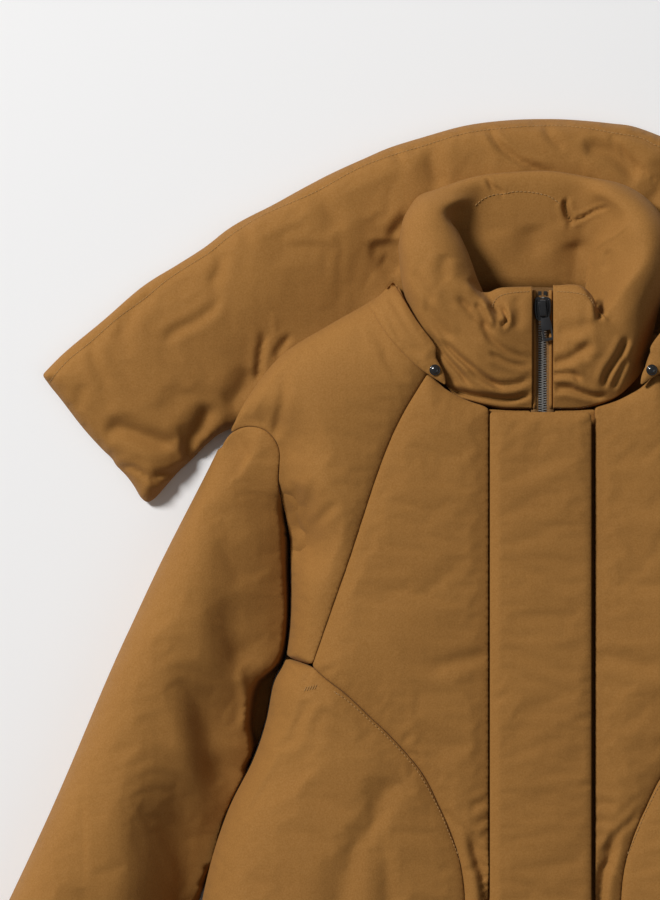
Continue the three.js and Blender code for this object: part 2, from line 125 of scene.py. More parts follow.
def near(points, line, signed=False):
    """Distance from each point to a polyline, how far along it (0 to 1) the nearest place lies,
    and, if asked, +1 or -1 for the left or right side of the line's direction."""
    best = np.full(len(points), 1e9)
    where = np.zeros(len(points))
    side = np.ones(len(points))
    lengths = np.linalg.norm(np.diff(line, axis=0), axis=1)
    starts = np.concatenate([[0], np.cumsum(lengths)])
    for k, (a, b) in enumerate(zip(line[:-1], line[1:])):
        ab = b - a
        t = np.clip(((points - a) @ ab) / max(ab @ ab, 1e-9), 0, 1)
        d = np.linalg.norm(points - a - t[:, None] * ab, axis=1)
        closer = d < best
        best[closer] = d[closer]
        where[closer] = (starts[k] + t[closer] * lengths[k]) / starts[-1]
        if signed:
            q = points[closer] - a
            side[closer] = np.sign(ab[0] * q[:, 1] - ab[1] * q[:, 0] + 1e-12)
    return (best, where, side) if signed else (best, where)


def inside(points, outline):
    """Even-odd rule: a point is inside when a ray from it crosses the outline an odd number of times."""
    hit = np.zeros(len(points), bool)
    x, y = points[:, 0], points[:, 1]
    for a, b in zip(outline, np.roll(outline, -1, axis=0)):
        if a[1] == b[1]:
            continue
        crosses = (a[1] > y) != (b[1] > y)
        hit ^= crosses & (x < (b[0] - a[0]) * (y - a[1]) / (b[1] - a[1]) + a[0])
    return hit


def smooth(t):
    t = np.clip(t, 0, 1)
    return t * t * (3 - 2 * t)


def dome(t):
    """A quarter of an ellipse: steep at the edge (0), level at 1."""
    t = np.clip(t, 0, 1)
    return np.sqrt(1 - (1 - t) ** 2)


def ripple(points, wavelength, seed, octaves=3):
    """Smooth noise in -1..1: sums of sines with random directions and phases."""
    rng = np.random.default_rng(seed)
    total, weight = np.zeros(len(points)), 0
    for o in range(octaves):
        for _ in range(5):
            a, phase = rng.uniform(0, 2 * np.pi, 2)
            k = 2 * np.pi * 2 ** o / wavelength * rng.uniform(0.7, 1.3)
            total += np.sin(k * (points[:, 0] * np.cos(a) + points[:, 1] * np.sin(a)) + phase) / 2 ** o
            weight += 0.5 / 2 ** o
    return total / weight / 2


# ---- the coat's outlines, right half, as distance from the centre line and height ----
neck_point = (130, 305)
seam_foot = (207, -40)
neck_front = spline([(ZIP_HALF, 190), (38, 191), (65, 198), (87, 209)])
neck_side = spline([(87, 209), (96, 240), (113, 270), (124, 291), neck_point])
shoulder = spline([neck_point, (161, 285), (191, 268), (235, 240), (265, 202), (281, 172)])
armhole = join(arc(SHOULDER, CAP_R + 1, 52, 190), spline([(236.4, 144), (236.8, 120), (231, 96),
    (227, 72)]))
hem = spline([(330, -447), (180, -454), (ZIP_HALF, HEM_Y)])
diagonal = spline([(103, 224), (127, 184), (146, 140), (173, 58), (189, 12), (200, -20), seam_foot])
hip = spline([seam_foot, (192, -53), (176, -65), (156, -84), (136, -103), (117, -124), (104, -142),
    (93, -165),
              (86, -180), (77, -205), (72, -227), (70, -252), (71, -290), (74, -350), (78, -456)])
side = spline([(227, 72), (226.6, 40), (226.8, 10), (228.5, -18), (232, -38), (242, -58), (249, -93),
    (261, -128),
               (285, -177), (305, -245), (322, -350), (330, -447)])
side_upper = side[side[:, 1] > -34]
side_lower = side[side[:, 1] <= -34]
side_foot = side_upper[-1:]


def flip(line, sign):
    """A line of the half outline on the side given by the sign."""
    out = np.array(line, float)
    out[:, 0] *= sign
    return out


# ---- heights of the body ----
def lifted(p):
    """From 0 on the lower body to 1 where the upper back lies on the hood."""
    return smooth((p[:, 1] - 30) / 100)


def back_high(p):
    """Height of the back panel's upper side."""
    return LIFT * lifted(p) + BACK_T - UPPER_THIN * lifted(p)


def armhole_height(along):
    """Height of the seam between the shoulder and the sleeve, from its outer end to the armpit."""
    return np.interp(along, (0, 0.1, 0.22, 0.34, 0.5, 0.64, 0.8, 1), (40, 49, 58, 60, 58, 52, 40, 33))


def body_top(p):
    """The front's height before its seams: a rounded edge that rises to a level top."""
    q = np.column_stack([np.abs(p[:, 0]), p[:, 1]])
    rim = back_high(p) + 4
    d_side = near(q, side)[0]
    d_shoulder = near(q, shoulder)[0]
    d_arm, along_arm = near(q, armhole)
    t = np.minimum(dome(d_side / 62), dome(d_shoulder / 75))
    z = rim + (TORSO_TOP - rim) * t
    return z + (armhole_height(along_arm) - z) * np.exp(-(d_arm / 24) ** 2)


def relief(p, marks):
    """Height added by creases, where d is the distance to a line and s the same with its side's sign.
    A valley is (line, width, depth, swell): -depth * exp(-(d / width)^2), with a low swell on both sides.
    A fold is (line, softness, drop, reach, "fold"): -drop / (1 + exp(-s / softness)) * exp(-(s / reach)^2),
    so the left side of the line's direction drops steeply and comes back over the reach. Both fade at
    their ends."""
    z = np.zeros(len(p))
    for mark in marks:
        line = spline(mark[0], step=5)
        low, high = line.min(0) - 60, line.max(0) + 60
        there = np.flatnonzero(np.all((p[:, :2] > low) & (p[:, :2] < high), axis=1))
        if not len(there):
            continue
        q = p[there, :2]
        d, t, side = near(q, line, signed=True)
        fade = smooth(t / 0.18) * smooth((1 - t) / 0.22)
        slow_fade = smooth(t / 0.5) * smooth((1 - t) / 0.3)
        if mark[-1] == "fold":
            soft, drop, reach = mark[1:4]
            s = d * side
            step = 1 / (1 + np.exp(-np.clip(s / soft, -30, 30)))
            lip = np.exp(-((s + 2.5 * soft) / (2.5 * soft)) ** 2)
            fall = step * np.exp(-(np.clip(s, 0, None) / reach) ** 2)
            z[there] += (slow_fade if soft > SOFT_FOLD else fade) * (0.22 * drop * lip - drop * fall)
        else:
            width, depth, swell = mark[1:4]
            z[there] += fade * (-depth * np.exp(-(d / width) ** 2)
                                + swell * np.exp(-((d - 2.1 * width) / (1.2 * width)) ** 2))
    return z


def mirror(marks):
    """The same marks on the other side; a fold's line runs backwards so that its low side stays."""
    return [([(-x, y) for x, y in (m[0][::-1] if m[-1] == "fold" else m[0])], *m[1:]) for m in marks]


# ---- meshes ----
def net(outline, step=STEP, lines=()):
    """Points on the outline and on the given lines, and a hexagonal lattice between them, joined by Delaunay
    triangles. Places where a line comes close to the outline are left out."""
    ring = np.vstack([outline, outline[:1]])
    kept = []
    for line in lines:
        ok = inside(line, outline) & (near(line, ring)[0] > 0.5 * step)
        runs = np.split(np.arange(len(line)), np.flatnonzero(np.diff(ok.astype(int))) + 1)
        kept += [line[run] for run in runs if ok[run[0]] and len(run) > 1]
    low, high = outline.min(0), outline.max(0)
    rows = np.arange(low[1], high[1], step * 0.866)
    cols = np.arange(low[0], high[0] + step, step)
    x = cols[None, :] + (np.arange(len(rows)) % 2)[:, None] * step / 2
    y = np.broadcast_to(rows[:, None], x.shape)
    grid = np.column_stack([x.ravel(), y.ravel()])
    grid = grid[inside(grid, outline)]
    for line in [ring] + kept:
        grid = grid[near(grid, line)[0] > 0.55 * step]
    points = np.vstack([outline, *kept, grid])
    n = len(outline)
    edges = [(i, (i + 1) % n) for i in range(n)]
    for line in kept:
        edges += [(n + i, n + i + 1) for i in range(len(line) - 1)]
        n += len(line)
    verts, _, faces, _, _, _ = delaunay_2d_cdt([Vector(v) for v in points], edges, [], 1, 1e-5)
    verts = np.array([v[:] for v in verts])
    if len(verts) != len(points):
        raise ValueError("the outline crosses itself")
    faces = np.array(faces)
    a, b, c = (verts[faces[:, k]] for k in range(3))
    area = (b - a)[:, 0] * (c - a)[:, 1] - (b - a)[:, 1] * (c - a)[:, 0]
    faces[area < 0] = faces[area < 0][:, ::-1]
    return points, faces


def make(name, verts, faces, material, smooth_shading=True):
    """A mesh object from vertices in millimetres and faces of any sizes."""
    mesh = bpy.data.meshes.new(name)
    mesh.from_pydata((np.asarray(verts) * MM).tolist(), [], [list(map(int, f)) for f in faces])
    mesh.materials.append(material)
    mesh.polygons.foreach_set("use_smooth", [smooth_shading] * len(mesh.polygons))
    mesh.update()
    obj = bpy.data.objects.new(name, mesh)
    bpy.context.scene.collection.objects.link(obj)
    return obj


def grid_faces(nu, nv, close_u=False, close_v=False):
    """Quads of an nu by nv net of points, row by row, wrapping where asked."""
    i = np.arange(nu if close_u else nu - 1)
    j = np.arange(nv if close_v else nv - 1)
    i, j = (a.ravel() for a in np.meshgrid(i, j))
    i2, j2 = (i + 1) % nu, (j + 1) % nv
    return np.column_stack([j * nu + i, j * nu + i2, j2 * nu + i2, j2 * nu + i])


def tube(path, radius, sides=8, flat=1.0):
    """A closed tube along a path: a ring of points round each path point, with fan ends."""
    path = np.asarray(path, float)
    along = np.gradient(path, axis=0)
    along /= np.linalg.norm(along, axis=1)[:, None]
    up = np.array([0, 0, 1.0])
    side_way = np.cross(along, up)
    side_way /= np.maximum(np.linalg.norm(side_way, axis=1), 1e-9)[:, None]
    top_way = np.cross(side_way, along)
    a = np.linspace(0, 2 * np.pi, sides, endpoint=False)
    ring = side_way[:, None] * np.cos(a)[None, :, None] + flat * top_way[:, None] * np.sin(a)[None, :, None]
    verts = (path[:, None] + np.reshape(radius * np.ones(len(path)), (-1, 1, 1)) * ring).reshape(-1, 3)
    faces = [list(f[::-1]) for f in grid_faces(sides, len(path), close_u=True)]
    n = len(verts)
    faces += [list(range(sides)), list(range(n - sides, n))[::-1]]
    return verts, faces


def merged(parts):
    """Several (vertices, faces) as one."""
    verts, faces, n = [], [], 0
    for v, f in parts:
        verts.append(np.asarray(v))
        faces += [[int(i) + n for i in face] for face in f]
        n += len(v)
    return np.vstack(verts), faces


# ---- cloth ----
to_puff = []


def padded_piece(name, outline, top, bottom, material, body, replaces, slot_name="shell", groove=6.0,
    reach=9.0,
                 pressure=1.6, growth=0.006, cap=6.0, marks=(), seed=1, step=STEP, fill=0.7, wavy=0.4,
                 pin=13.0,
                 low_step=16.0, lines=()):
    """A padded panel. Its upper cloth is a net of triangles at top(p, d), drawn down at the seams by
    groove * exp(-d / reach) with d the distance to the outline; the lower cloth is a net at bottom(p, d)."""
    outline = np.asarray(outline, float)
    points, faces = net(outline, step, lines)
    ring = np.vstack([outline, outline[:1]])
    d = near(points, ring)[0]
    depth = groove(points) if callable(groove) else groove
    z = top(points, d) - depth * np.exp(-d / reach) + relief(points, marks)
    z += wavy * ripple(points, 60, seed) * smooth(d / 20)
    z = np.maximum(z, LOWEST if cap > 1 else LOWEST_THIN)
    verts = np.column_stack([points, z])
    n_edge, n_top = len(outline), len(points)
    low_points, low_faces = net(outline, low_step)
    low_z = bottom(low_points, near(low_points, ring)[0])
    low_z[:n_edge] = np.maximum(np.minimum(low_z[:n_edge], z[:n_edge] - 2.5), FLOOR_Z)
    tuck = np.column_stack([outline, np.maximum(z[:n_edge] - SEAM_TUCK, (z[:n_edge] + low_z[:n_edge]) / 2)])
    low = np.column_stack([low_points, low_z])
    i = np.arange(n_edge)
    j = (i + 1) % n_edge
    area = np.sum(outline[:, 0] * np.roll(outline[:, 1], -1) - outline[:, 1] * np.roll(outline[:, 0], -1))
    walls = np.vstack([np.column_stack([i, i + n_top, j + n_top, j]),
                       np.column_stack([i + n_top, i + n_top + n_edge, j + n_top + n_edge, j + n_top])])
    if area < 0:
        walls = walls[:, ::-1]
    all_faces = faces.tolist() + (low_faces[:, ::-1] + n_top + n_edge).tolist() + walls.tolist()
    obj = make(name, np.vstack([verts, tuck, low]), all_faces, material)
    to_puff.append(dict(obj=obj, n=n_top, faces=faces, verts=verts, free=smooth((d - 1.0) / pin),
        pressure=pressure,
                        growth=growth, cap=cap))
    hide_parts(*replaces)
    pieces.append((obj, body, fill))
    return obj


pieces = []


def inflate_all(frames=16):
    """Cloth with air pressure, gravity off, on the upper cloth of every padded piece at once.
    Seams are pinned, and no point moves further than the piece's cap."""
    runs = []
    for job in to_puff:
        v = job["verts"]
        mesh = bpy.data.meshes.new("net")
        mesh.from_pydata((v * MM).tolist(), [], job["faces"].tolist())
        obj = bpy.data.objects.new("net", mesh)
        bpy.context.scene.collection.objects.link(obj)
        group = obj.vertex_groups.new(name="pin")
        pin = 1 - job["free"]
        levels = np.round(pin * 20).astype(int)
        for level in range(1, 21):
            group.add(np.flatnonzero(levels == level).tolist(), level / 20, "REPLACE")
        cloth = obj.modifiers.new("cloth", "CLOTH")
        s = cloth.settings
        s.quality = 4
        s.mass = 0.12
        s.air_damping = 4
        s.tension_stiffness = 22
        s.compression_stiffness = 22
        s.shear_stiffness = 8
        s.bending_stiffness = 0.35
        s.tension_damping = 8
        s.compression_damping = 8
        s.shear_damping = 8
        s.use_pressure = True
        s.uniform_pressure_force = job["pressure"]
        s.shrink_min = -job["growth"]
        s.vertex_group_mass = "pin"
        s.pin_stiffness = 6
        s.effector_weights.gravity = 0
        cloth.collision_settings.use_collision = False
        cloth.collision_settings.use_self_collision = False
        cloth.point_cache.frame_start = 1
        cloth.point_cache.frame_end = frames
        runs.append(obj)
    for f in range(1, frames + 1):
        bpy.context.scene.frame_set(f)
    depsgraph = bpy.context.evaluated_depsgraph_get()
    for job, obj in zip(to_puff, runs):
        done = np.empty(job["n"] * 3, np.float32)
        obj.evaluated_get(depsgraph).data.vertices.foreach_get("co", done)
        done = done.reshape(-1, 3).astype(float) / MM
        move = done - job["verts"]
        size = np.linalg.norm(move, axis=1, keepdims=True)
        move *= np.minimum(1, job["cap"] / np.maximum(size, 1e-9))
        mesh = job["obj"].data
        co = np.empty(len(mesh.vertices) * 3)
        mesh.vertices.foreach_get("co", co)
        co = co.reshape(-1, 3)
        co[:job["n"]] = (job["verts"] + move) * MM
        mesh.vertices.foreach_set("co", co.ravel())
        mesh.update()
        data = obj.data
        bpy.data.objects.remove(obj)
        bpy.data.meshes.remove(data)
    bpy.context.scene.frame_set(1)


# ---- materials ----
def weave_group():
    """Fine plain weave on Object coordinates: crossed waves for the bump, and slow and fine noise for
    the colour."""
    group = bpy.data.node_groups.new("woven cloth", "ShaderNodeTree")
    face = group.interface
    face.new_socket("Colour", in_out="INPUT", socket_type="NodeSocketColor")
    face.new_socket("Dark", in_out="INPUT", socket_type="NodeSocketColor")
    face.new_socket("Bump", in_out="INPUT", socket_type="NodeSocketFloat")
    face.new_socket("Colour", in_out="OUTPUT", socket_type="NodeSocketColor")
    face.new_socket("Roughness", in_out="OUTPUT", socket_type="NodeSocketFloat")
    face.new_socket("Normal", in_out="OUTPUT", socket_type="NodeSocketVector")
    n, link = group.nodes, group.links.new
    gin, gout = n.new("NodeGroupInput"), n.new("NodeGroupOutput")
    where = n.new("ShaderNodeTexCoord")

    def noise(scale, detail=3):
        node = n.new("ShaderNodeTexNoise")
        node.inputs["Scale"].default_value = scale
        node.inputs["Detail"].default_value = detail
        link(where.outputs["Object"], node.inputs["Vector"])
        return node.outputs["Fac"]

    def spread(value, low, high):
        node = n.new("ShaderNodeMapRange")
        node.inputs["From Min"].default_value = 0.3
        node.inputs["From Max"].default_value = 0.7
        node.inputs["To Min"].default_value = low
        node.inputs["To Max"].default_value = high
        link(value, node.inputs["Value"])
        return node.outputs["Result"]

    def maths(kind, a, b):
        node = n.new("ShaderNodeMath")
        node.operation = kind
        for k, value in enumerate((a, b)):
            if isinstance(value, (int, float)):
                node.inputs[k].default_value = value
            else:
                link(value, node.inputs[k])
        return node.outputs[0]

    def wave(direction):
        node = n.new("ShaderNodeTexWave")
        node.bands_direction = direction
        node.inputs["Scale"].default_value = 320
        node.inputs["Distortion"].default_value = 1.2
        node.inputs["Detail"].default_value = 1
        node.inputs["Detail Scale"].default_value = 3
        link(where.outputs["Object"], node.inputs["Vector"])
        return node.outputs["Fac"]

    speck = noise(700, 2)
    slow = noise(14, 2)
    mix = n.new("ShaderNodeMix")
    mix.data_type = "RGBA"
    amount = maths("ADD", spread(speck, 0.0, 0.62), spread(slow, -0.14, 0.14))
    link(amount, mix.inputs["Factor"])
    link(gin.outputs["Colour"], mix.inputs["A"])
    link(gin.outputs["Dark"], mix.inputs["B"])
    link(mix.outputs["Result"], gout.inputs["Colour"])
    link(spread(speck, 0.74, 0.92), gout.inputs["Roughness"])
    bump = n.new("ShaderNodeBump")
    bump.inputs["Distance"].default_value = 0.0004
    link(gin.outputs["Bump"], bump.inputs["Strength"])
    link(maths("ADD", maths("MULTIPLY", wave("X"), wave("Y")), speck), bump.inputs["Height"])
    link(bump.outputs["Normal"], gout.inputs["Normal"])
    return group


weave = weave_group()


def cloth_material(name, colour, dark, bump=0.5, sheen=0.06):
    m = bpy.data.materials.new(name)
    m.use_nodes = True
    nodes, links = m.node_tree.nodes, m.node_tree.links
    shader = nodes["Principled BSDF"]
    shader.inputs["Specular IOR Level"].default_value = 0.3
    shader.inputs["Sheen Weight"].default_value = sheen
    shader.inputs["Sheen Roughness"].default_value = 0.45
    shader.inputs["Sheen Tint"].default_value = (1.0, 0.82, 0.6, 1)
    g = nodes.new("ShaderNodeGroup")
    g.node_tree = weave
    g.inputs["Colour"].default_value = (*colour, 1)
    g.inputs["Dark"].default_value = (*dark, 1)
    g.inputs["Bump"].default_value = bump
    links.new(g.outputs["Colour"], shader.inputs["Base Color"])
    links.new(g.outputs["Roughness"], shader.inputs["Roughness"])
    links.new(g.outputs["Normal"], shader.inputs["Normal"])
    return m


def metal_material(name, colour, roughness, metallic=1.0, coat=0.0):
    m = bpy.data.materials.new(name)
    m.use_nodes = True
    nodes, links = m.node_tree.nodes, m.node_tree.links
    shader = nodes["Principled BSDF"]
    shader.inputs["Metallic"].default_value = metallic
    shader.inputs["Coat Roughness"].default_value = 0.1
    shader.inputs["Coat Weight"].default_value = coat
    where = nodes.new("ShaderNodeTexCoord")
    noise = nodes.new("ShaderNodeTexNoise")
    noise.inputs["Scale"].default_value = 900
    links.new(where.outputs["Object"], noise.inputs["Vector"])
    ramp = nodes.new("ShaderNodeMix")
    ramp.data_type = "RGBA"
    ramp.inputs["A"].default_value = (*colour, 1)
    ramp.inputs["B"].default_value = (*[c * 0.7 for c in colour], 1)
    links.new(noise.outputs["Fac"], ramp.inputs["Factor"])
    links.new(ramp.outputs["Result"], shader.inputs["Base Color"])
    rough = nodes.new("ShaderNodeMapRange")
    rough.inputs["To Min"].default_value = roughness * 0.75
    rough.inputs["To Max"].default_value = roughness * 1.25
    links.new(noise.outputs["Fac"], rough.inputs["Value"])
    links.new(rough.outputs["Result"], shader.inputs["Roughness"])
    return m


shell = cloth_material("padded shell cloth", (0.302, 0.138, 0.0285), (0.232, 0.100, 0.0185))
lining = cloth_material("smooth lining cloth", (0.25, 0.112, 0.024), (0.2, 0.086, 0.017), bump=0.2,
    sheen=0.05)
thread = cloth_material("topstitch thread", (0.36, 0.2, 0.07), (0.28, 0.14, 0.045), bump=0.2)
tape = cloth_material("zip tape", (0.22, 0.11, 0.033), (0.16, 0.075, 0.021), bump=0.8)
gunmetal = metal_material("gunmetal", (0.12, 0.11, 0.10), 0.32)
bright = metal_material("bright tooth edge", (0.42, 0.40, 0.37), 0.28)
gloss_black = metal_material("gloss black enamel", (0.012, 0.012, 0.013), 0.2, metallic=0.0, coat=0.8)
matt_black = metal_material("matt black enamel", (0.02, 0.02, 0.022), 0.42, metallic=0.2)


# ---- the front ----
body_creases = [
    ([(-93, -163), (-79, -179), (-65, -191), (-52, -211), (-47, -223)], 2.6, 2.4, 0.6),
    ([(-67, -186), (-64, -195), (-59, -213), (-53, -230), (-50, -256), (-49, -300)], 4.0, 9.0, 1.0),
    ([(-126, -107), (-115, -98)], 2.4, 1.6, 0.4), ([(-122, -116), (-106, -123)], 2.4, 1.5, 0.4),
    ([(-117, -126), (-117, -140)], 2.4, 1.6, 0.3), ([(-46, -158), (-66, -166)], 3.0, 2.2, 0.5),
    ([(-46, -174), (-60, -181)], 3.0, 2.0, 0.5), ([(-46, -186), (-57, -195)], 3.0, 1.8, 0.5),
    ([(-46, -28), (-75, -35), (-106, -44)], 6.0, 2.0, 0.6), ([(-68, -225), (-54, -214)], 2.4, 1.6, 0.4),
    ([(-122, -126), (-140, -150), (-152, -179), (-168, -209), (-181, -242), (-190, -290)], 11.0, 3.4, 1.2),
    ([(-145, -186), (-142, -219), (-140, -251), (-142, -300)], 8.0, 2.4, 0.9),
    ([(-208, -64), (-219, -93), (-228, -116)], 4.0, 2.0, 0.8),
    ([(-242, 136), (-236, 119), (-227, 100), (-217, 74), (-216.5, 56), (-220, 23), (-226, -6),
        (-232, -34)][::-1],
     1.2, 5.5, 60.0, "fold"),
    ([(-240, 128), (-236, 119), (-227, 100), (-217.5, 76), (-217, 64)], 1.9, 5.0, 0.9),
    ([(-206, -38), (-210, -47), (-214, -60)], 1.6, 2.4, 0.6),
    ([(-212, -58), (-221, -93), (-238, -126), (-260, -169), (-277, -208), (-291, -237), (-306, -300),
        (-316, -380)],
     1.5, 1.3, 0.5),
    ([(-232, 226), (-232, 205), (-236, 184), (-244, 160)], 4.0, 3.5, 0.8), ([(-251, 182), (-247, 158)], 3.0,
        2.5, 0.6),
    ([(-216, 246), (-239, 223), (-255, 199), (-262, 174)], 3.0, -1.6, 0.0),
    ([(-204, 130), (-210, 104), (-217, 78)], 3.5, 1.8, 0.8), ([(-184, 108), (-202, 90), (-216, 72)], 3.5,
        2.0, 0.9),
    ([(-224, 128), (-222, 105), (-219, 82)], 3.0, 1.6, 0.6), ([(-84, 206), (-72, 200), (-58, 199)], 2.6,
        1.6, 0.4),
    ([(-226, -34), (-214, -42), (-205, -44)], 3.0, 2.4, 0.6), ([(-228, -44), (-220, -52)], 2.4, 1.6, 0.5),
    ([(-200, -48), (-188, -40)], 2.6, 1.4, 0.4), ([(-150, 262), (-138, 236), (-124, 214)], 4.0, 1.2, 0.5),
]
body_creases += mirror(body_creases)


def front_panels():
    yoke = join(diagonal[::-1], neck_side[neck_side[:, 1] > 226], shoulder, armhole, side_upper)
    armpit = spline([(242, 136), (236, 119), (227, 100), (217, 74), (216.5, 56), (220, 23), (226, -6),
        (231, -30)], step=3)
    hip_panel = join(side_foot, side_lower, hem[hem[:, 0] > 80], hip[::-1])
    for name, sign in SIDES:
        flap_edge = abs(FLAP_X[0]) + 0.6 if sign < 0 else FLAP_X[1] + 3.6
        chest = join(spline([(flap_edge, HEM_Y), (flap_edge, 192)]),
            neck_front[neck_front[:, 0] > flap_edge + 2],
                     [(95, 216)], diagonal, hip)

        def top(p, d):
            beside = np.abs(p[:, 0]) - flap_edge
            return body_top(p) - (1.5 if sign < 0 else 0) * np.exp(-np.clip(beside, 0, None) / 9)

        def seam_depth(p):
            q = np.column_stack([np.abs(p[:, 0]), p[:, 1]])
            away = smooth(near(q, np.vstack([shoulder, side]))[0] / 45)
            away = away * (1 - np.exp(-(near(q, armhole)[0] / 12) ** 2))
            free_edge = 1 - 0.6 * np.exp(-np.clip(q[:, 0] - flap_edge, 0, None) / 9)
            return 0.9 + 5.2 * away * free_edge

        low = lambda p, d: back_high(p) + 14
        for label, outline, seed in (("shoulder_panel", yoke, 3), ("chest_panel", chest, 5),
            ("hip_panel", hip_panel, 8)):
            node = f"{label}_{name}"
            padded_piece(node + "_cloth", flip(outline, sign), top, low, shell, "coat", [node],
                groove=seam_depth,
                         seed=seed + sign, marks=body_creases,
                         lines=[flip(armpit, sign), flip(armpit + (ARMPIT_CREASE, 0), sign)]
                         if label == "shoulder_panel" else ())
        placket = [(sign * x, y) for x, y in join(
            spline([(ZIP_HALF, HEM_Y), (flap_edge + 1, HEM_Y)]), spline([(flap_edge + 1, HEM_Y),
                (flap_edge + 1, 191)]),
            spline([(flap_edge + 1, 191), (ZIP_HALF, 190)]), spline([(ZIP_HALF, 190), (ZIP_HALF, HEM_Y)]))]
        padded_piece(f"placket_{name}_cloth", placket, lambda p, d: 79.6 + 0 * d, lambda p, d: 46 + 0 * d,
            shell,
                           "coat", [], groove=1.2, reach=3, pressure=0.2, growth=0.0, cap=0.4, step=7,
                           wavy=0.1)


def stitches(name, paths, body, length=2.6, gap=1.1, radius=0.42):
    """A row of stitches: small rounded bars set end to end along each path."""
    a = np.linspace(0, 2 * np.pi, 6, endpoint=False)
    profile = ((-0.5, 0.45), (-0.34, 1.0), (0.34, 1.0), (0.5, 0.45))
    parts = []
    for path in paths:
        p = spline(path, step=length + gap)
        mid, way = (p[1:] + p[:-1]) / 2, np.diff(p, axis=0)
        way /= np.linalg.norm(way, axis=1)[:, None]
        side_way = np.cross(way, [0, 0, 1.0])
        side_way /= np.linalg.norm(side_way, axis=1)[:, None]
        up = np.cross(side_way, way)
        rings = [mid[:, None] + way[:, None] * length * t
                 + radius * r * (side_way[:, None] * np.cos(a)[None, :, None] + up[:,
                     None] * np.sin(a)[None, :, None])
                 for t, r in profile]
        verts = np.stack(rings, 1).reshape(-1, 3)
        quads = grid_faces(6, 4, close_u=True)[:, ::-1]
        count = len(mid)
        faces = (quads[None] + 24 * np.arange(count)[:, None, None]).reshape(-1, 4).tolist()
        ends = [[24 * k + i for i in range(6)] for k in range(count)]
        faces += ends + [[24 * k + 18 + i for i in range(6)][::-1] for k in range(count)]
        parts.append((verts, faces))
    v, f = merged(parts)
    obj = make(name, v, f, thread)
    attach(obj, body)
    return obj


# ---- back, linings ----
def back_and_linings():
    neck_back = spline([(87, 262), (51, 279), (0, 285)])
    half = join(neck_side[neck_side[:, 1] > 262], shoulder, armhole, side, spline([(330, -447), (180, -454),
        (0, HEM_Y)]))
    whole = np.vstack([neck_back[::-1], half])
    outline = join(flip(whole, -1), whole[::-1][1:-1])
    padded_piece("back_panel_cloth", outline, lambda p, d: back_high(p) + 1.0, lambda p,
        d: LIFT * lifted(p) + 0.4,
                 shell, "coat", ["back_panel"], groove=9.0, reach=12, pressure=0.5, growth=0.0, cap=2.0,
                 step=11)
    inner = join(spline([(24, -448), (180, -446), (316, -440)], step=14),
                 spline([(316, -440), (300, -270), (274, -180), (236, -95), (212, 0), (206, 72),
                     (222, 130)], step=14),
                 spline([(222, 130), (215, 215), (160, 258), (100, 258)], step=14),
                 spline([(100, 258), (60, 262), (24, 268)], step=14))
    whole = np.vstack([inner, flip(inner[::-1], -1)])
    plain = dict(slot_name="lining", groove=1.0, pressure=0.2, growth=0.0, cap=1.0, step=14, fill=0.2,
        wavy=0.2)
    padded_piece("back_lining_cloth", whole, lambda p, d: back_high(p) + 5.6, lambda p,
        d: back_high(p) + 3.2, lining,
                 "coat", ["back_lining"], **plain)
    for name, sign in SIDES:
        edge = spline([(24, 268), (24, -448)], step=14)[1:-1]
        padded_piece(f"front_lining_{name}_cloth", flip(np.vstack([inner, edge]), sign),
                     lambda p, d: back_high(p) + 13.0, lambda p, d: back_high(p) + 10.4, lining, "coat",
                     [f"front_lining_{name}"], **plain)


# ---- sleeves ----
sleeve_creases = [
    ([(-336, -34), (-329, -52), (-317, -82), (-310, -112), (-302, -140), (-292, -172)], 5.0, 15.0, 36.0,
        "fold"),
    ([(-306, 30), (-296, 4), (-284, -28), (-272, -54)], 6.0, 13.0, 32.0, "fold"),
    ([(-278, -46), (-270, -58), (-267, -80), (-272, -104)], 4.5, -4.0, 0.0),
    ([(-326, -100), (-342, -150), (-348, -190), (-345, -240), (-350, -330)], 11.0, 24.0, 50.0, "fold"),
    ([(-290, 110), (-282, 70), (-272, 20)], 16.0, 3.0, 0.8),
    ([(-420, -230), (-400, -300), (-404, -350)], 14.0, 3.0, 1.2),
]


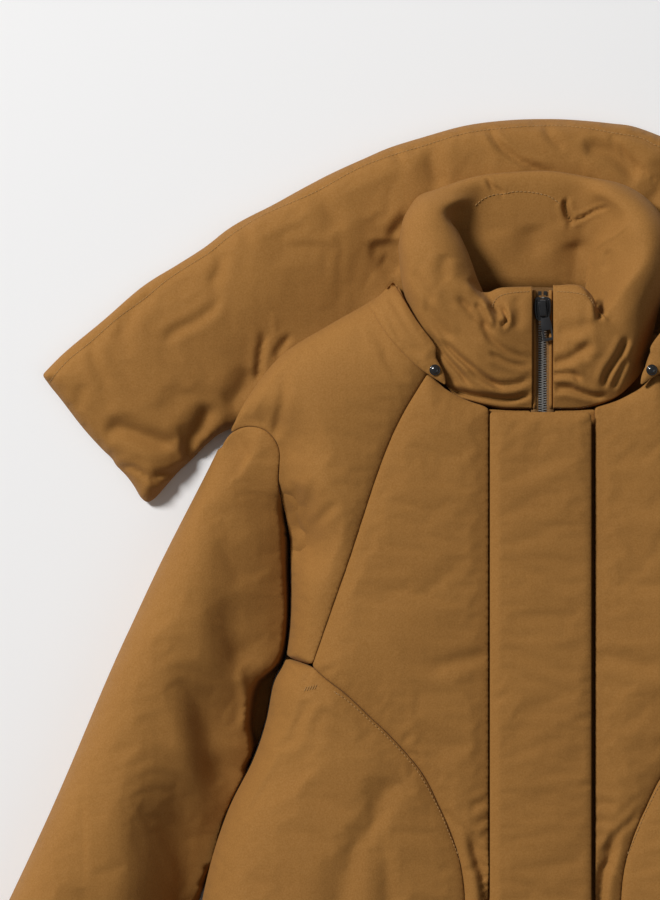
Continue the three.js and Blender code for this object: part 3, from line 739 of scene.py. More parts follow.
def sleeves():
    outer = spline([(CUFF_OUTER[0], CUFF_OUTER[1]), (447, -178), (394, -54), (369, 1), (343, 56),
        (307, 126), (292, 156)])
    cap = arc(SHOULDER, CAP_R + 1, 15, 190)
    fold = spline([(236, 140), (240, 120), (237, 96), (234, 82), (233, 52), (231, 20), (232, -15),
        (240, -40), (260, -60),
                   (266, -91), (263, -120), (272, -150), (288, -190), (302, -230), (318, -270), (360,
                       -342), (394, -395)])
    inner = spline([(237, 140), (237.2, 120), (231.6, 96), (227.6, 72), (227.3, 40), (227.5, 10),
        (229.3, -18), (232.8, -38),
                    (243, -58), (250, -93), (262, -128), (286, -177), (306, -245), (330, -300), (362,
                        -350), (394, -395)])
    cuff = spline([(394, -395), (455, -370), (CUFF_OUTER[0], CUFF_OUTER[1])])
    half = join(outer, cap, inner, cuff)
    edge = spline(fold[8:], step=4)
    foot = edge - (4.2, 0)
    for name, sign in SIDES:

        def top(p, d):
            q = np.column_stack([np.abs(p[:, 0]), p[:, 1]])
            d_out = near(q, np.vstack([outer, [(284, 172)]]))[0]
            d_in, _, side_of = near(q, fold, signed=True)
            d_in = d_in * side_of
            low = 36 - 8 * smooth((-q[:, 1] - 40) / 160)
            base = 19 + (low - 19) * smooth(d_out / 40) + 0.3 * LIFT * lifted(q)
            t = np.clip(d_in, 0, None) / 104
            z = base + (72 - base) * dome(d_out / 54) * np.sin(np.pi / 2 * np.clip(t, 0, 1))
            skirt = 5 + 0.5 * LIFT * lifted(q)
            z = np.where(d_in > -0.3, z, skirt + (base - skirt) * np.exp(np.minimum(d_in, 0) / 1.2))
            d_arm, along = near(q, armhole)
            join_up = np.exp(-(d_arm / 26) ** 2) * smooth((q[:, 1] - 84) / 34)
            z = z + (armhole_height(along) - z) * join_up
            return z - (0.5 + 1.0 * smooth((q[:, 1] - 150) / 12)) * np.exp(-d_arm / 3)

        def bottom(p, d):
            return LIFT * lifted(p) * 0.75 + 4 * (1 - dome(d / 10)) + 0.4

        marks = sleeve_creases if sign < 0 else mirror(sleeve_creases)
        obj = padded_piece(f"sleeve_{name}_cloth", flip(half, sign), top, bottom, shell, None,
                           [f"sleeve_front_{name}",
                               f"sleeve_back_{name}"], groove=0.0, pressure=1.2, growth=0.003,
                           cap=5.0, marks=marks, seed=21 + sign, step=4.2, low_step=8.0, wavy=0.5,
                           lines=[flip(edge, sign), flip(foot, sign)])
        obj["side"] = sign


# ---- hood ----
hood_left = [
    ([(-398, 175), (-378, 174), (-358, 166), (-341, 160), (-327, 159)], 7.5, 6.0, 2.4),
    ([(-329, 166), (-326, 150), (-325, 139)], 3.5, -3.0, 0.0),
    ([(-298, 198), (-308, 177), (-319, 161), (-322, 140)], 7.5, 7.0, 1.6),
    ([(-260, 230), (-270, 210), (-286, 190)], 9.0, 4.5, 1.4),
    ([(-389, 141), (-369, 137), (-354, 128), (-342, 118)], 2.4, 3.6, 0.9),
    ([(-353, 131), (-336, 133), (-324, 141)], 2.8, 4.4, 1.1), ([(-361, 114), (-345, 117)], 2.6, 3.6, 0.6),
    ([(-287, 336), (-290, 326), (-293, 315), (-302, 304)], 5.5, 3.2, 1.0),
    ([(-288, 292), (-308, 275), (-332, 262), (-344, 249)], 4.5, 2.2, 1.2),
    ([(-348, 296), (-369, 284), (-380, 262), (-383, 250)], 5.5, 2.2, 0.9),
    ([(-408, 254), (-404, 232), (-389, 213)], 4.5, 1.6, 0.7), ([(-416, 217), (-420, 191)], 5.0, 1.4, 0.5),
    ([(-250, 264), (-254, 242), (-257, 212)], 2.8, 5.0, 1.0), ([(-226, 260), (-237, 245), (-240, 236)], 2.8,
        3.8, 0.8),
    ([(-242, 280), (-240, 251)], 2.2, -1.4, 0.0), ([(-330, 225), (-345, 208), (-352, 190)], 9.0, -1.6, 0.0),
    ([(-262, 372), (-268, 358), (-264, 340)], 4.5, 1.6, 0.6), ([(-206, 388), (-190, 372), (-184, 352)], 8.0,
        2.2, 0.9),
    ([(-236, 345), (-204, 346), (-180, 343)], 5.0, -1.2, 0.0),
]
hood_middle = [
    ([(-47, 452), (-41, 436), (-27, 422), (-11, 413), (16, 404)], 3.0, 3.6, 1.4), ([(5, 453), (10, 438),
        (24, 427)], 4.0, 2.6, 0.8),
    ([(36, 429), (60, 426), (77, 415), (92, 398)], 8.0, 6.0, 1.4), ([(-98, 432), (-96, 407), (-88, 392)],
        8.0, 4.0, 1.2),
    ([(-158, 341), (-140, 343.5), (-122, 344)][::-1], 1.4, 5.5, 16.0, "fold"),
    ([(-137, 345), (-127, 357), (-118, 367)], 5.0, 4.2, 1.0), ([(-146, 329), (-125, 318)], 8.0, 4.0, 1.0),
    ([(67, 452), (66, 438), (73, 428), (91, 409), (116, 392)], 1.8, 2.6, 0.6), ([(-136, 428), (-128, 420),
        (-126, 412)], 3.5, 2.0, 0.6),
    ([(-20, 404), (20, 402), (60, 396)], 8.0, 3.0, 0.6), ([(-118, 436), (-112, 425)], 3.0, 1.6, 0.6),
    ([(-76, 449), (-70, 436)], 3.5, 1.4, 0.6), ([(120, 425), (112, 400), (96, 372)], 8.0, 3.0, 1.0),
]
hood_stitch = [(-447, 216), (-431, 235), (-409, 253), (-384, 275), (-358, 294), (-340, 309), (-319, 323),
    (-301, 334),
               (-284, 348), (-262, 363), (-240, 374), (-205, 389), (-167, 410), (-140, 421), (-107,
                   431), (-67, 443),
               (-27, 448), (14, 450), (45, 447), (66, 443), (91, 439), (107, 431), (140, 421), (167,
                   410), (205, 389),
               (240, 374), (284, 348), (340, 309), (384, 275), (409, 253), (447, 216)]


def hood():
    face = [(-454, 223), (-433, 244), (-398, 273), (-362, 304), (-330, 324), (-305, 340), (-286, 355),
        (-268, 366),
            (-244, 378), (-215, 394), (-188, 408), (-157, 422), (-136, 431), (-107, 440), (-67, 451), (-27,
                456), (10, 457),
            (35, 456), (66, 453), (91, 449), (136, 431), (188, 408), (244, 378), (305, 340), (362,
                304), (433, 244),
            (454, 223)]
    end = [(-454, 223), (-446, 212), (-437, 201), (-417, 175), (-398, 154), (-390, 147), (-387, 141),
        (-377, 131),
           (-369, 120), (-364, 111), (-358, 106)]
    lower = [(-358, 106), (-351, 110), (-343, 119), (-329, 135), (-318, 145), (-303, 160), (-288, 171),
        (-262, 178),
             (-180, 178), (0, 178)]
    left = join(spline(end), spline(lower))
    right = join(spline([(0, 178), (180, 178), (262, 178), (288, 171), (303, 160), (329, 135), (358, 106)]),
                 spline([(358, 106), (398, 154), (417, 175), (454, 223)]))
    outline = join(left, right, spline(face[::-1]))
    stitch = spline(hood_stitch)

    def top(p, d):
        q = np.column_stack([np.abs(p[:, 0]), p[:, 1]])
        beyond = near(q, spline([(130, 305), (191, 268), (235, 240), (265, 202), (284, 172),
            (300, 150)]))[0]
        under = inside(q, np.array([(0, 170), (0, 300), (130, 305), (191, 268), (235, 240), (265, 202),
            (284, 172)]))
        rise = np.where(under, 0, smooth(beyond / 70))
        end_side = smooth((q[:, 0] - 250) / 90)
        thick = 15 + 9 * rise * (1 - 0.35 * end_side)
        soft = 26 + 10 * end_side
        low_edge = smooth((p[:, 1] - 90) / 20)
        return 7 + thick * dome(d / soft) * low_edge - 2.2 * np.exp(-near(p, stitch)[0] / 2.6)

    def bottom(p, d):
        return 0.4 + 6 * (1 - dome(d / 12))

    padded_piece("hood_cloth", outline, top, bottom, shell, "hood", ["hood_panel", "hood_face_band"],
        groove=0.0,
                 pressure=1.2, growth=0.0045, cap=5.0, marks=hood_left + mirror(hood_left) + hood_middle,
                 seed=41, step=4.2,
                 low_step=9.0, wavy=0.4, pin=9.0, lines=[stitch])
    inner = spline([(-440, 222), (-352, 124), (-300, 178), (0, 190), (300, 178), (352, 124), (440, 222),
        (300, 330),
                    (120, 420), (0, 445), (-120, 420), (-300, 330), (-440, 222)], step=12)
    padded_piece("hood_lining_cloth", join(inner), lambda p, d: 0.9 + 0 * d, lambda p, d: 0.1 + 0 * d,
        lining, "hood",
                 ["hood_lining"], slot_name="lining", groove=0.2, pressure=0.1, growth=0.0, cap=0.3, step=16,
                 fill=0.1,
                 wavy=0.0)


# ---- wind flap ----
def wind_flap():
    """The flap over the zip, sewn down along its right side and free on the other three."""
    x0, x1, y0, y1 = FLAP_X[0], FLAP_X[1], HEM_Y + 6, 188.5
    outline = join(spline([(x0, y0), (x1 - 3, y0)]), spline([(x1 - 3, y0), (x1, y0 + 3)]),
        spline([(x1, y0 + 3), (x1, y1 - 3)]),
                   spline([(x1, y1 - 3), (x1 - 3, y1)]), spline([(x1 - 3, y1), (x0, y1)]), spline([(x0, y1),
                       (x0, y0)]))
    marks = [([(28, -87), (45, -86)], 2.6, 1.6, 0.4), ([(30, -147), (45, -145)], 2.6, 1.4, 0.4),
             ([(36, -53), (45, -53)], 2.4, 1.0, 0.3), ([(-46, -70), (-30, -64)], 3.0, 0.8, 0.3),
             ([(-30, 120), (10, 60), (20, -20)], 18.0, 0.9, 0.3), ([(34, 176), (45, 180)], 2.6, 1.4, 0.4)]
    padded_piece("wind_flap_cloth", outline, lambda p, d: FLAP_Z[1] - 1.2 + 0 * d, lambda p,
        d: FLAP_Z[0] + 0.2 + 0 * d,
                 shell, "flap", ["wind_flap"], groove=3.2, reach=4.5, pressure=0.9, growth=0.006, cap=2.5,
                 marks=marks,
                 seed=61, wavy=0.5, pin=8.0)


# ---- collar ----
# Each row is one section of the collar, from its seam over the rim to the inside of the neck.
collar_sections = [
    [(-9.5, 191, 80), (-9.5, 214, 87), (-9.5, 244, 90), (-9.5, 274, 90), (-9.5, 293, 88), (-9.5, 301, 82),
        (-9.5, 296, 74), (-9.5, 262, 70), (-9.5, 218, 66)],
    [(-36, 191.5, 80), (-37, 213, 90), (-39, 244, 99), (-40, 272, 99), (-40, 291, 94), (-37, 300, 85),
        (-36, 294, 75), (-35, 262, 69), (-34, 222, 62)],
    [(-60, 197, 80), (-63, 216, 90), (-66, 246, 99), (-60, 272, 101), (-53, 287, 98), (-50, 296, 88),
        (-47, 290, 76), (-50, 264, 64), (-50, 232, 54)],
    [(-80, 205, 77), (-92, 226, 80), (-104, 255, 84), (-95, 284, 99), (-72, 296, 102), (-60, 299, 92),
        (-52, 294, 74), (-60, 278, 56), (-62, 250, 46)],
    [(-93, 225, 63), (-112, 262, 60), (-121, 290, 72), (-112, 304, 94), (-86, 310, 101), (-69, 312, 93),
        (-59, 310, 74), (-72, 298, 50), (-74, 270, 42)],
    [(-97, 242, 52), (-123, 300, 48), (-127, 322, 62), (-120, 332, 86), (-98, 334, 98), (-77, 334, 92),
        (-67, 332, 72), (-80, 320, 48), (-78, 288, 39)],
    [(-93, 255, 42), (-124, 330, 36), (-128, 345, 50), (-122, 354, 74), (-104, 356, 88), (-85, 353, 86),
        (-75, 350, 68), (-82, 337, 46), (-74, 300, 38)],
    [(-85, 264, 36), (-114, 348, 29), (-122, 366, 38), (-117, 374, 58), (-106, 374, 76), (-90, 369, 80),
        (-82, 362, 62), (-78, 347, 44), (-66, 305, 38)],
    [(-72, 272, 31), (-96, 360, 27), (-104, 385, 33), (-101, 388, 48), (-92, 386, 64), (-77, 379, 69),
        (-72, 370, 54), (-66, 347, 44), (-52, 308, 38)],
    [(-50, 279, 29), (-56, 350, 27), (-60, 392, 30), (-62, 401, 36), (-60, 401, 46), (-57, 396, 51),
        (-54, 382, 50), (-44, 345, 45), (-36, 310, 40)],
    [(-22, 284, 28), (-24, 350, 27), (-26, 398, 29), (-26, 406, 36), (-25, 405, 45), (-25, 398, 49),
        (-24, 382, 49), (-20, 345, 46), (-16, 310, 42)],
    [(8, 285, 28), (8, 350, 27), (9, 400, 29), (9, 407, 36), (9, 406, 45), (8, 399, 49), (8, 382, 49),
        (6, 345, 46), (5, 310, 42)],
    [(36, 283, 29), (38, 350, 27), (40, 396, 30), (41, 402, 37), (40, 401, 47), (38, 395, 51),
        (34, 378, 48), (26, 345, 44), (20, 310, 40)],
    [(62, 276, 31), (74, 352, 27), (80, 385, 32), (76, 394, 46), (66, 393, 62), (57, 385, 68),
        (50, 374, 54), (38, 348, 44), (30, 308, 38)],
    [(78, 268, 35), (100, 350, 29), (106, 368, 40), (100, 376, 60), (88, 375, 78), (76, 368, 82),
        (64, 362, 66), (48, 345, 48), (40, 306, 40)],
    [(92, 255, 42), (112, 330, 38), (116, 342, 54), (110, 352, 78), (95, 354, 92), (80, 350, 90),
        (66, 348, 72), (48, 332, 50), (40, 296, 42)],
    [(96, 240, 52), (110, 296, 50), (113, 312, 66), (107, 322, 88), (94, 328, 99), (81, 328, 93),
        (66, 326, 74), (48, 312, 52), (42, 284, 43)],
    [(90, 224, 63), (98, 262, 62), (99, 285, 76), (93, 300, 95), (80, 306, 101), (69, 301, 92),
        (60, 300, 72), (48, 290, 54), (42, 264, 44)],
    [(72, 206, 78), (78, 226, 84), (78, 250, 90), (68, 268, 94), (57, 276, 90), (50, 276, 78),
        (46, 274, 68), (46, 258, 58), (44, 236, 50)],
    [(56, 197, 80), (58, 216, 90), (58, 244, 98), (52, 270, 97), (46, 284, 94), (44, 293, 86),
        (42, 290, 76), (42, 264, 66), (42, 232, 56)],
    [(34, 191.5, 80), (35, 213, 90), (36, 244, 99), (36, 274, 99), (35, 294, 95), (32, 302, 87),
        (32, 297, 77), (32, 262, 69), (32, 222, 62)],
    [(9.5, 191, 80), (9.5, 214, 87), (9.5, 244, 90), (9.5, 274, 90), (9.5, 294, 88), (9.5, 302, 82),
        (9.5, 297, 74), (9.5, 262, 70), (9.5, 218, 66)],
]
collar_creases = [
    ([(-106, 262), (-92, 245), (-82, 233), (-66, 214), (-62, 210)], 2.4, 3.0, 1.0),
    ([(-93, 255), (-76, 238), (-58, 224), (-40, 212), (-30, 208)], 2.6, 3.6, 1.3),
    ([(-56, 262), (-37, 245), (-22, 238), (-8, 234)], 3.0, 2.6, 1.2),
    ([(-50, 242), (-29, 232), (-8, 230)], 2.6, 2.6, 1.0), ([(-70, 226), (-46, 214), (-24, 214), (-8, 220)],
        2.6, 2.4, 1.0),
    ([(-117, 316), (-108, 299), (-96, 284)], 4.0, 2.0, 1.2), ([(-78, 292), (-66, 280), (-56, 268),
        (-42, 256)], 3.4, 2.6, 1.3),
    ([(-108, 290), (-94, 268), (-80, 252)], 4.0, 1.8, 1.2), ([(-92, 210), (-70, 205), (-52, 202),
        (-29, 200), (-6, 206)], 2.6, 6.0, 1.6),
    ([(6, 208), (23, 209), (45, 203), (60, 203)], 2.6, 5.0, 1.4), ([(6, 231), (23, 236), (46, 252)], 4.0,
        3.4, 1.4),
    ([(6, 221), (24, 223), (36, 217)], 2.6, 3.6, 1.2), ([(6, 213), (20, 213), (30, 211)], 2.2, 3.0, 0.8),
    ([(55, 208), (57, 221), (68, 239), (77, 258)], 3.2, 5.0, 1.6), ([(62, 208), (68, 222), (76, 238)], 3.0,
        3.2, 1.0),
    ([(12, 262), (30, 262), (44, 270)], 6.0, 2.0, 0.8), ([(20, 250), (34, 244), (40, 232)], 5.0, 1.8, 0.8),
    ([(-68, 308), (-58, 296), (-50, 288), (-44, 278), (-38, 269)], 1.3, 9.0, 11.0, "fold"),
    ([(-39, 270), (-36, 266), (-33, 270), (-34, 277), (-38, 283)], 1.8, 4.0, 1.6),
    ([(-62, 286), (-54, 276), (-50, 262)], 3.0, 2.6, 1.6), ([(51, 270), (50, 278), (51, 290)], 3.0, 7.0,
        2.0),
    ([(-48, 286), (-46, 276), (-40, 266)], 2.6, 2.0, 1.0), ([(-26, 292), (-22, 276), (-26, 260)], 5.0, 1.6,
        0.8),
    ([(-86, 330), (-90, 316), (-86, 304)], 5.0, 1.6, 0.8), ([(-49, 400), (-44, 392), (-37, 389),
        (-33, 384)], 2.0, 2.2, 0.8),
    ([(21, 382), (24, 368), (30, 358)], 2.4, 5.0, 1.2), ([(27, 361), (38, 365), (50, 371), (62, 373)], 1.6,
        2.6, 1.0),
    ([(-10, 360), (-6, 330), (-4, 300)], 13.0, 3.0, 1.6), ([(30, 345), (34, 320), (30, 300)], 12.0, 4.0,
        1.0),
    ([(77, 362), (71, 351), (54, 341), (46, 334)], 1.6, -1.2, 0.0), ([(58, 334), (60, 326), (56, 316)], 4.0,
        2.4, 0.8),
]


def loft(rows, nu, nv):
    """Catmull-Rom curves through the control points, first along each section and then from section
    to section."""
    rows = np.asarray(rows, float)
    across = np.stack([spline(row, count=nv - 1) for row in rows])
    return np.stack([spline(across[:, k], count=nu - 1) for k in range(nv)])


def collar():
    nu, nv = 400, 84
    grid = loft(collar_sections, nu, nv)
    flat = grid.reshape(-1, 3)
    along = np.repeat(np.linspace(0, 1, nv), nu)
    marked = 1.15 * relief(flat, collar_creases) * smooth(along / 0.04) * (1 - smooth((along - 0.86) / 0.1))
    flat[:, 2] += marked
    flat[:, 2] += 0.45 * ripple(flat, 60, 77) * smooth(along / 0.15) * (1 - smooth((along - 0.7) / 0.2))
    faces = grid_faces(nu, nv)
    first, last = np.arange(nu), np.arange(nu) + (nv - 1) * nu
    wall = np.column_stack([first[:-1], last[:-1], last[1:], first[1:]])
    ends = [[j * nu for j in range(nv)], [j * nu + nu - 1 for j in range(nv)][::-1]]
    all_faces = faces.tolist() + wall.tolist() + ends
    obj = make("collar_cloth", flat, all_faces, shell)
    mesh = obj.data
    front_face = mesh.polygons[nu * 20 + nu // 20]  # on the outer side, where up is outwards
    if front_face.normal.z < 0:
        mesh.flip_normals()
    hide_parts("collar_band", "collar_facing")
    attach(obj, "coat")


# ---- neck tabs ----
def neck_tabs():
    for name, sign in SIDES:
        half = join(spline([(134, 307), (114, 272), (96, 247), (97, 239), (92, 230), (88, 221), (87, 212)]),
                    spline([(87, 212), (110, 227), (126, 242), (142, 261), (155, 284)]), spline([(155, 284),
                        (134, 307)]))
        outline = flip(half, sign)

        def top(p, d):
            return body_top(p) + 4.5 - 4.0 * smooth((np.linalg.norm(p - np.array([sign * 146, 297]),
                axis=1) < 1) * 1.0)

        marks = [([(sign * 137, 296), (sign * 124, 268), (sign * 108, 246)], 3.0, 1.2, 0.6),
                 ([(sign * 142, 280), (sign * 128, 256), (sign * 112, 238)], 3.0, 1.0, 0.5)]
        padded_piece(f"neck_tab_{name}_cloth", outline, top, lambda p, d: body_top(p) - 1.5, shell,
            f"tab_{name}",
                     [f"neck_tab_{name}"], groove=2.2, reach=2.5, pressure=0.4, growth=0.01, cap=1.2,
                     marks=marks,
                     seed=81 + sign, step=3.0, wavy=0.3, pin=5.0)
        profile = [(0, 0), (4.9, 0), (5.0, 0.9), (4.7, 1.5), (4.1, 1.6), (3.8, 1.3), (3.6, 1.9), (3.0, 2.7),
            (1.8, 3.2), (0, 3.3)]
        z = body_top(np.array([[sign * 97.0, 226.0]]))[0] + 4.0
        v, f = lathe(profile, 32)
        snap = make(f"tab_snap_{name}_cap", v + (sign * 97.0, 226.0, z), f, gloss_black)
        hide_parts(f"tab_snap_{name}")
        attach(snap, f"tab_{name}")


def lathe(profile, sides):
    """A profile of (radius, height) turned about the upright axis."""
    a = np.linspace(0, 2 * np.pi, sides, endpoint=False)
    verts = [(r * c, r * s, h) for r, h in profile for c, s in zip(np.cos(a), np.sin(a))]
    faces = grid_faces(sides, len(profile), close_u=True).tolist()
    return np.array(verts), faces


# ---- zip ----
def zip_rows():
    """Both rows of teeth, their tapes, the stitching along them and the rolled cloth edges beside them."""
    pitch = 2.18
    y0, y1 = -438.0, 292.5
    count = int((y1 - y0) / pitch)
    for name, sign in SIDES:
        y = y0 + pitch * (np.arange(count) + (0.5 if sign > 0 else 0))
        w, h = 0.72, 2.1
        profile = [(3.7, -h * 0.7), (3.7, h * 0.7), (1.4, h), (-0.8, h * 0.75), (-0.8, -h * 0.75),
            (1.4, -h)]
        k = len(profile)
        ring = lambda dy, s: np.array([(sign * px * (s if px < 0 else 1), dy, CHAIN_Z + pz * s) for px,
            pz in profile])
        body = np.vstack([ring(-w, 0.82), ring(-w * 0.6, 1), ring(w * 0.6, 1), ring(w, 0.82)])
        quads = grid_faces(k, 4, close_u=True)
        if sign > 0:
            quads = quads[:, ::-1]
        verts = (body[None] + np.stack([0 * y, y, 0 * y], 1)[:, None]).reshape(-1, 3)
        faces = (quads[None] + 4 * k * np.arange(count)[:, None, None]).reshape(-1, 4).tolist()
        for c in range(count):
            a = [4 * k * c + i for i in range(k)]
            b = [4 * k * c + 3 * k + i for i in range(k)]
            faces += [a[::-1], b] if sign < 0 else [a, b[::-1]]
        obj = make(f"zip_teeth_{name}_row", verts, faces, bright, smooth_shading=False)
        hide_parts(f"zip_teeth_{name}")
        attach(obj, "coat")
        v, f = box_bar(sign * 3.2, sign * 10.4, -440.0, 297.0, 77.3, 79.0)
        strip = make(f"zip_tape_{name}_cloth", v, f, tape)
        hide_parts(f"zip_tape_{name}")
        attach(strip, "coat")
        path = [(sign * 8.2, 297, 79.5), (sign * 8.2, 240, 79.5), (sign * 8.2, 192, 79.5)]
        stitches(f"zip_stitch_{name}", [path], "coat", length=2.2, gap=1.0, radius=0.38)
        welt = spline([(sign * 7.4, 298, 79.4), (sign * 7.4, 192, 79.4)])
        v, f = tube(welt, 1.5, 8, flat=0.8)
        edge = make(f"zip_welt_{name}", v, f, shell)
        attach(edge, "coat")


def box_bar(x0, x1, y0, y1, z0, z1, steps=120):
    """A flat bar along Y, cut into short steps."""
    x0, x1 = min(x0, x1), max(x0, x1)
    y = np.linspace(y0, y1, steps + 1)
    corners = [(x0, z0), (x1, z0), (x1, z1), (x0, z1)]
    verts = np.array([(x, v, z) for v in y for x, z in corners])
    faces = [list(f) for f in grid_faces(4, steps + 1, close_u=True)]
    faces = [f[::-1] for f in faces] + [[0, 1, 2, 3], [4 * steps + i for i in (3, 2, 1, 0)]]
    return verts, faces


def plate(outer, holes, z0, z1):
    """A flat plate from an outline and its holes."""
    loops = [np.asarray(outer, float)] + [np.asarray(h, float) for h in holes]
    points = np.vstack(loops)
    edges, start = [], 0
    for loop in loops:
        n = len(loop)
        edges += [(start + i, start + (i + 1) % n) for i in range(n)]
        start += n
    verts, _, faces, _, _, _ = delaunay_2d_cdt([Vector(v) for v in points], edges, [], 1, 1e-6)
    verts = np.array([v[:] for v in verts])
    faces = np.array(faces)
    middle = verts[faces].mean(1)
    keep = inside(middle, loops[0])
    for hole in loops[1:]:
        keep &= ~inside(middle, hole)
    faces = faces[keep]
    a, b, c = (verts[faces[:, k]] for k in range(3))
    turn = (b - a)[:, 0] * (c - a)[:, 1] - (b - a)[:, 1] * (c - a)[:, 0]
    faces[turn < 0] = faces[turn < 0][:, ::-1]
    n = len(verts)
    both = np.vstack([np.column_stack([verts, np.full(n, z1)]), np.column_stack([verts, np.full(n, z0)])])
    out = faces.tolist() + (faces[:, ::-1] + n).tolist()
    start = 0
    for k, loop in enumerate(loops):
        m = len(loop)
        area = np.sum(loop[:, 0] * np.roll(loop[:, 1], -1) - loop[:, 1] * np.roll(loop[:, 0], -1))
        for i in range(m):
            p, q = start + i, start + (i + 1) % m
            quad = [p, p + n, q + n, q]
            out.append(quad if (area > 0) == (k == 0) else quad[::-1])
        start += m
    return both, out


def rounded(points, radius=1.0, steps=4):
    """An outline with round corners."""
    p = np.asarray(points, float)
    out = []
    for k in range(len(p)):
        a, b, c = p[k - 1], p[k], p[(k + 1) % len(p)]
        u, v = (a - b) / np.linalg.norm(a - b), (c - b) / np.linalg.norm(c - b)
        r = min(radius, np.linalg.norm(a - b) / 2.2, np.linalg.norm(c - b) / 2.2)
        for t in np.linspace(0, 1, steps + 1):
            out.append(b + u * r * (1 - t) ** 2 + v * r * t ** 2)
    return np.array(out)


def slider_and_pull():
    y0, y1 = 271.0, 292.0
    top = rounded([(-5.2, y0), (5.2, y0), (6.8, y0 + 6), (7.8, y1 - 6), (7.2, y1 - 1.6), (3.4, y1),
        (1.2, y1 - 1.4),
                   (-1.2, y1 - 1.4), (-3.4, y1), (-7.2, y1 - 1.6), (-7.8, y1 - 6), (-6.8, y0 + 6)], 1.6)
    parts = [plate(top, [], 80.7, 83.2), plate(top, [], 73.4, 75.3)]
    parts.append(plate([(-1.0, y1 - 7), (1.0, y1 - 7), (1.0, y1 - 2), (-1.0, y1 - 2)], [], 75.0, 81.0))
    for x in (-6.6, 6.6):
        rail = [(x * 0.78, y0 + 1, 82.6), (x * 0.95, y0 + 7, 82.6), (x, y1 - 7, 82.6), (x * 0.9, y1 - 2.4,
            82.6)]
        parts.append(tube(spline(rail, step=1.2), 1.5, 10))
    bridge = spline([(0, y0 + 3, 82.2), (0, y0 + 3.6, 85.6), (0, y0 + 6, 87.2), (0, y1 - 6.5, 87.2),
        (0, y1 - 4.2, 86.4),
                     (0, y1 - 3, 84.6), (0, y1 - 2.8, 82.4)], step=1.0)
    parts.append(arch(bridge, 2.4, 0.75))
    v, f = merged(parts)
    obj = make("zip_slider_body", v, f, gloss_black)
    soften(obj, 0.28)
    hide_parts("zip_slider")
    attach(obj, "slider")
    hinge_y, z0 = 286.35, 83.35
    w, end = 4.8, hinge_y + 3.7 - 38
    outer = rounded([(-3.9, hinge_y + 1.1), (-3.9, hinge_y - 14), (-w, hinge_y - 18), (-w, end), (w, end),
                     (w, hinge_y - 18), (3.9, hinge_y - 14), (3.9, hinge_y + 1.1)], 1.2)
    eye = rounded([(-2.9, hinge_y - 1.1), (2.9, hinge_y - 1.1), (2.9, y0 + 1.9), (-2.9, y0 + 1.9)], 1.2)
    slot = rounded([(-3.2, end + 2.6), (3.2, end + 2.6), (3.2, end + 9.6), (-3.2, end + 9.6)], 0.9)
    v, f = plate(outer, [eye, slot], z0, z0 + 1.7)
    tilt = math.radians(9)
    v = v - (0, hinge_y, 0)
    v = np.column_stack([v[:, 0] * math.cos(tilt) - v[:, 1] * math.sin(tilt),
                         v[:, 0] * math.sin(tilt) + v[:, 1] * math.cos(tilt) + hinge_y, v[:, 2]])
    pull = make("zip_pull_bar", v, f, matt_black)
    soften(pull, 0.35)
    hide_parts("zip_pull")
    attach(pull, "pull_tab")


def arch(path, half, thick):
    """A flat strap that follows a path in the plane of Y and Z."""
    way = np.gradient(path, axis=0)
    way /= np.linalg.norm(way, axis=1)[:, None]
    normal = np.column_stack([0 * way[:, 0], -way[:, 2], way[:, 1]])
    corners = [(-half, -thick), (half, -thick), (half, thick), (-half, thick)]
    verts = np.stack([path + normal * t + np.array([x, 0, 0]) for x, t in corners], 1).reshape(-1, 3)
    n = len(path)
    faces = [list(f)[::-1] for f in grid_faces(4, n, close_u=True)]
    return verts, faces + [[0, 1, 2, 3], [4 * n - 4 + i for i in (3, 2, 1, 0)]]


def soften(obj, width):
    """Rounded edges on a hard piece."""
    bevel = obj.modifiers.new("edge", "BEVEL")
    bevel.width = width * MM
    bevel.segments = 3
    bevel.limit_method = "ANGLE"
    bevel.angle_limit = math.radians(35)
    bevel.harden_normals = False


# ---- threads that show ----
def on_surface(line, obj, lift=0.35):
    """Points of a flat line dropped onto a piece from above."""
    depsgraph = bpy.context.evaluated_depsgraph_get()
    shape = obj.evaluated_get(depsgraph)
    out = []
    for x, y in line:
        hit, place, _, _ = shape.ray_cast(Vector((x, y, 300)) * MM, Vector((0, 0, -1)))
        if hit:
            out.append((x, y, place.z / MM + lift))
    return out


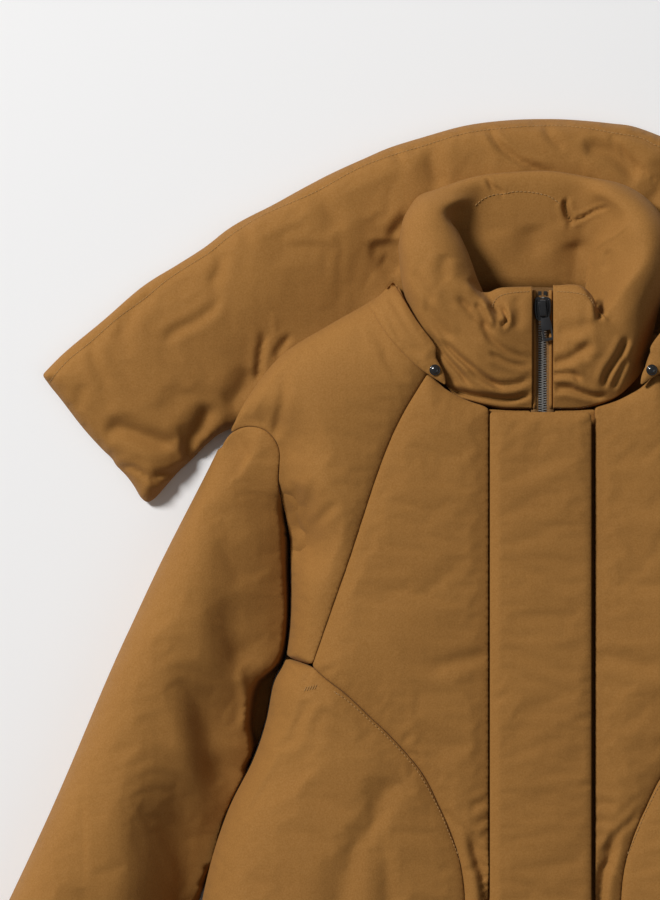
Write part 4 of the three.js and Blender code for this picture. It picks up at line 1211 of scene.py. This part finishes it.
def seam_threads():
    cloth = bpy.data.objects
    hip_line = [(-186, -60), (-173, -69), (-154, -86), (-134, -105), (-115, -126), (-103, -144),
        (-91, -167), (-85, -181),
                (-75, -206), (-70, -226), (-68, -256), (-69, -300), (-72, -360), (-76, -440)]
    shifted = [(x - 1.8, y - 1.6) for x, y in hip_line]
    stitches("hip_stitch_right", [on_surface(spline(shifted), cloth["hip_panel_right_cloth"])], "coat")
    stitches("hip_stitch_left", [on_surface(spline([(-x, y) for x, y in shifted]),
        cloth["hip_panel_left_cloth"])], "coat")
    stitches("hood_stitch", [on_surface(spline(hood_stitch), cloth["hood_cloth"])], "hood")
    for name, sign in SIDES:
        rim = [(46, 282), (41, 291), (29, 295), (12, 296.5)]
        path = on_surface(spline([(sign * x, y) for x, y in rim]), cloth["collar_cloth"])
        stitches(f"rim_stitch_{name}", [path], "coat", length=2.2, gap=0.9, radius=0.36)
        bar = [[(sign * (203 + 2.3 * k), -56.6 - 0.5 * k), (sign * (204.4 + 2.3 * k),
            -59.6 - 0.5 * k)] for k in range(5)]
        paths = [[(x, y, z) for x, y, z in on_surface(spline(b, step=1.5), cloth[f"hip_panel_{name}_cloth"],
            0.4)] for b in bar]
        stitches(f"bartack_{name}", [p for p in paths if len(p) > 1], "coat", length=2.8, gap=0.3,
            radius=0.36)
    arc_line = [(-60, 375), (-53, 381), (-44, 385), (-34, 386), (-25, 388), (-13, 388), (0, 386), (9, 383),
        (20, 375)]
    stitches("facing_stitch", [on_surface(spline(arc_line), cloth["collar_cloth"])], "coat")


# ---- stage, light, camera ----
def stage():
    """Pale floor, a key light from the upper left, a weak fill, an even world, and the camera above."""
    floor = make("floor", [(-4000, -4000, -0.3), (4000, -4000, -0.3), (4000, 4000, -0.3),
        (-4000, 4000, -0.3)],
                 [[0, 1, 2, 3]], plain_material("pale floor", (0.86, 0.86, 0.865)))

    def lamp(name, place, aim, size, power, colour=(1, 1, 1)):
        data = bpy.data.lights.new(name, "AREA")
        data.shape = "DISK"
        data.size = size
        data.energy = power
        data.color = colour
        obj = bpy.data.objects.new(name, data)
        obj.location = place
        obj.rotation_euler = (Vector(aim) - Vector(place)).to_track_quat("-Z", "Y").to_euler()
        bpy.context.scene.collection.objects.link(obj)

    lamp("key", (-4.8, 3.9, 5.2), (-0.1, 0.05, 0), 2.0, 705, (1, 0.994, 0.984))
    lamp("fill", (2.2, -0.6, 2.6), (0, 0, 0), 2.4, 8, (0.96, 0.98, 1))
    world = bpy.data.worlds.new("studio")
    world.use_nodes = True
    world.node_tree.nodes["Background"].inputs["Color"].default_value = (1, 1, 1, 1)
    world.node_tree.nodes["Background"].inputs["Strength"].default_value = 0.16
    bpy.context.scene.world = world
    bpy.context.scene.view_settings.view_transform = "Standard"
    camera = bpy.data.cameras.new("camera")
    camera.lens = 180
    camera.sensor_width = 36
    obj = bpy.data.objects.new("camera", camera)
    obj.location = (*VIEW_CENTRE, FOCUS_Z + VIEW_HEIGHT * camera.lens / camera.sensor_width)
    bpy.context.scene.collection.objects.link(obj)
    bpy.context.scene.camera = obj


def plain_material(name, colour):
    """A matt surface of one colour."""
    m = bpy.data.materials.new(name)
    m.use_nodes = True
    m.node_tree.nodes["Principled BSDF"].inputs["Base Color"].default_value = (*colour, 1)
    m.node_tree.nodes["Principled BSDF"].inputs["Roughness"].default_value = 0.9
    return m


stage()
front_panels()
back_and_linings()
sleeves()
hood()
wind_flap()
neck_tabs()
inflate_all()
for piece, body, fill in pieces:
    round_off = piece.modifiers.new("round", "SUBSURF")
    round_off.levels = round_off.render_levels = 1
    if body:
        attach(piece, body)
    else:
        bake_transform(piece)
collar()
zip_rows()
slider_and_pull()
seam_threads()
metal_nodes = [f"{kind}_{k}" for kind in ("flap_stud", "flap_socket") for k in range(1, 5)]
metal_nodes += [f"{kind}_{name}" for kind in ("neck_stud", "zip_top_stop") for name,
    _ in SIDES] + ["zip_retainer_box"]
for node, material in [(n, gunmetal) for n in metal_nodes] + [("hanger_loop", tape)]:
    frame["nodes"][node].data.materials.clear()
    frame["nodes"][node].data.materials.append(material)
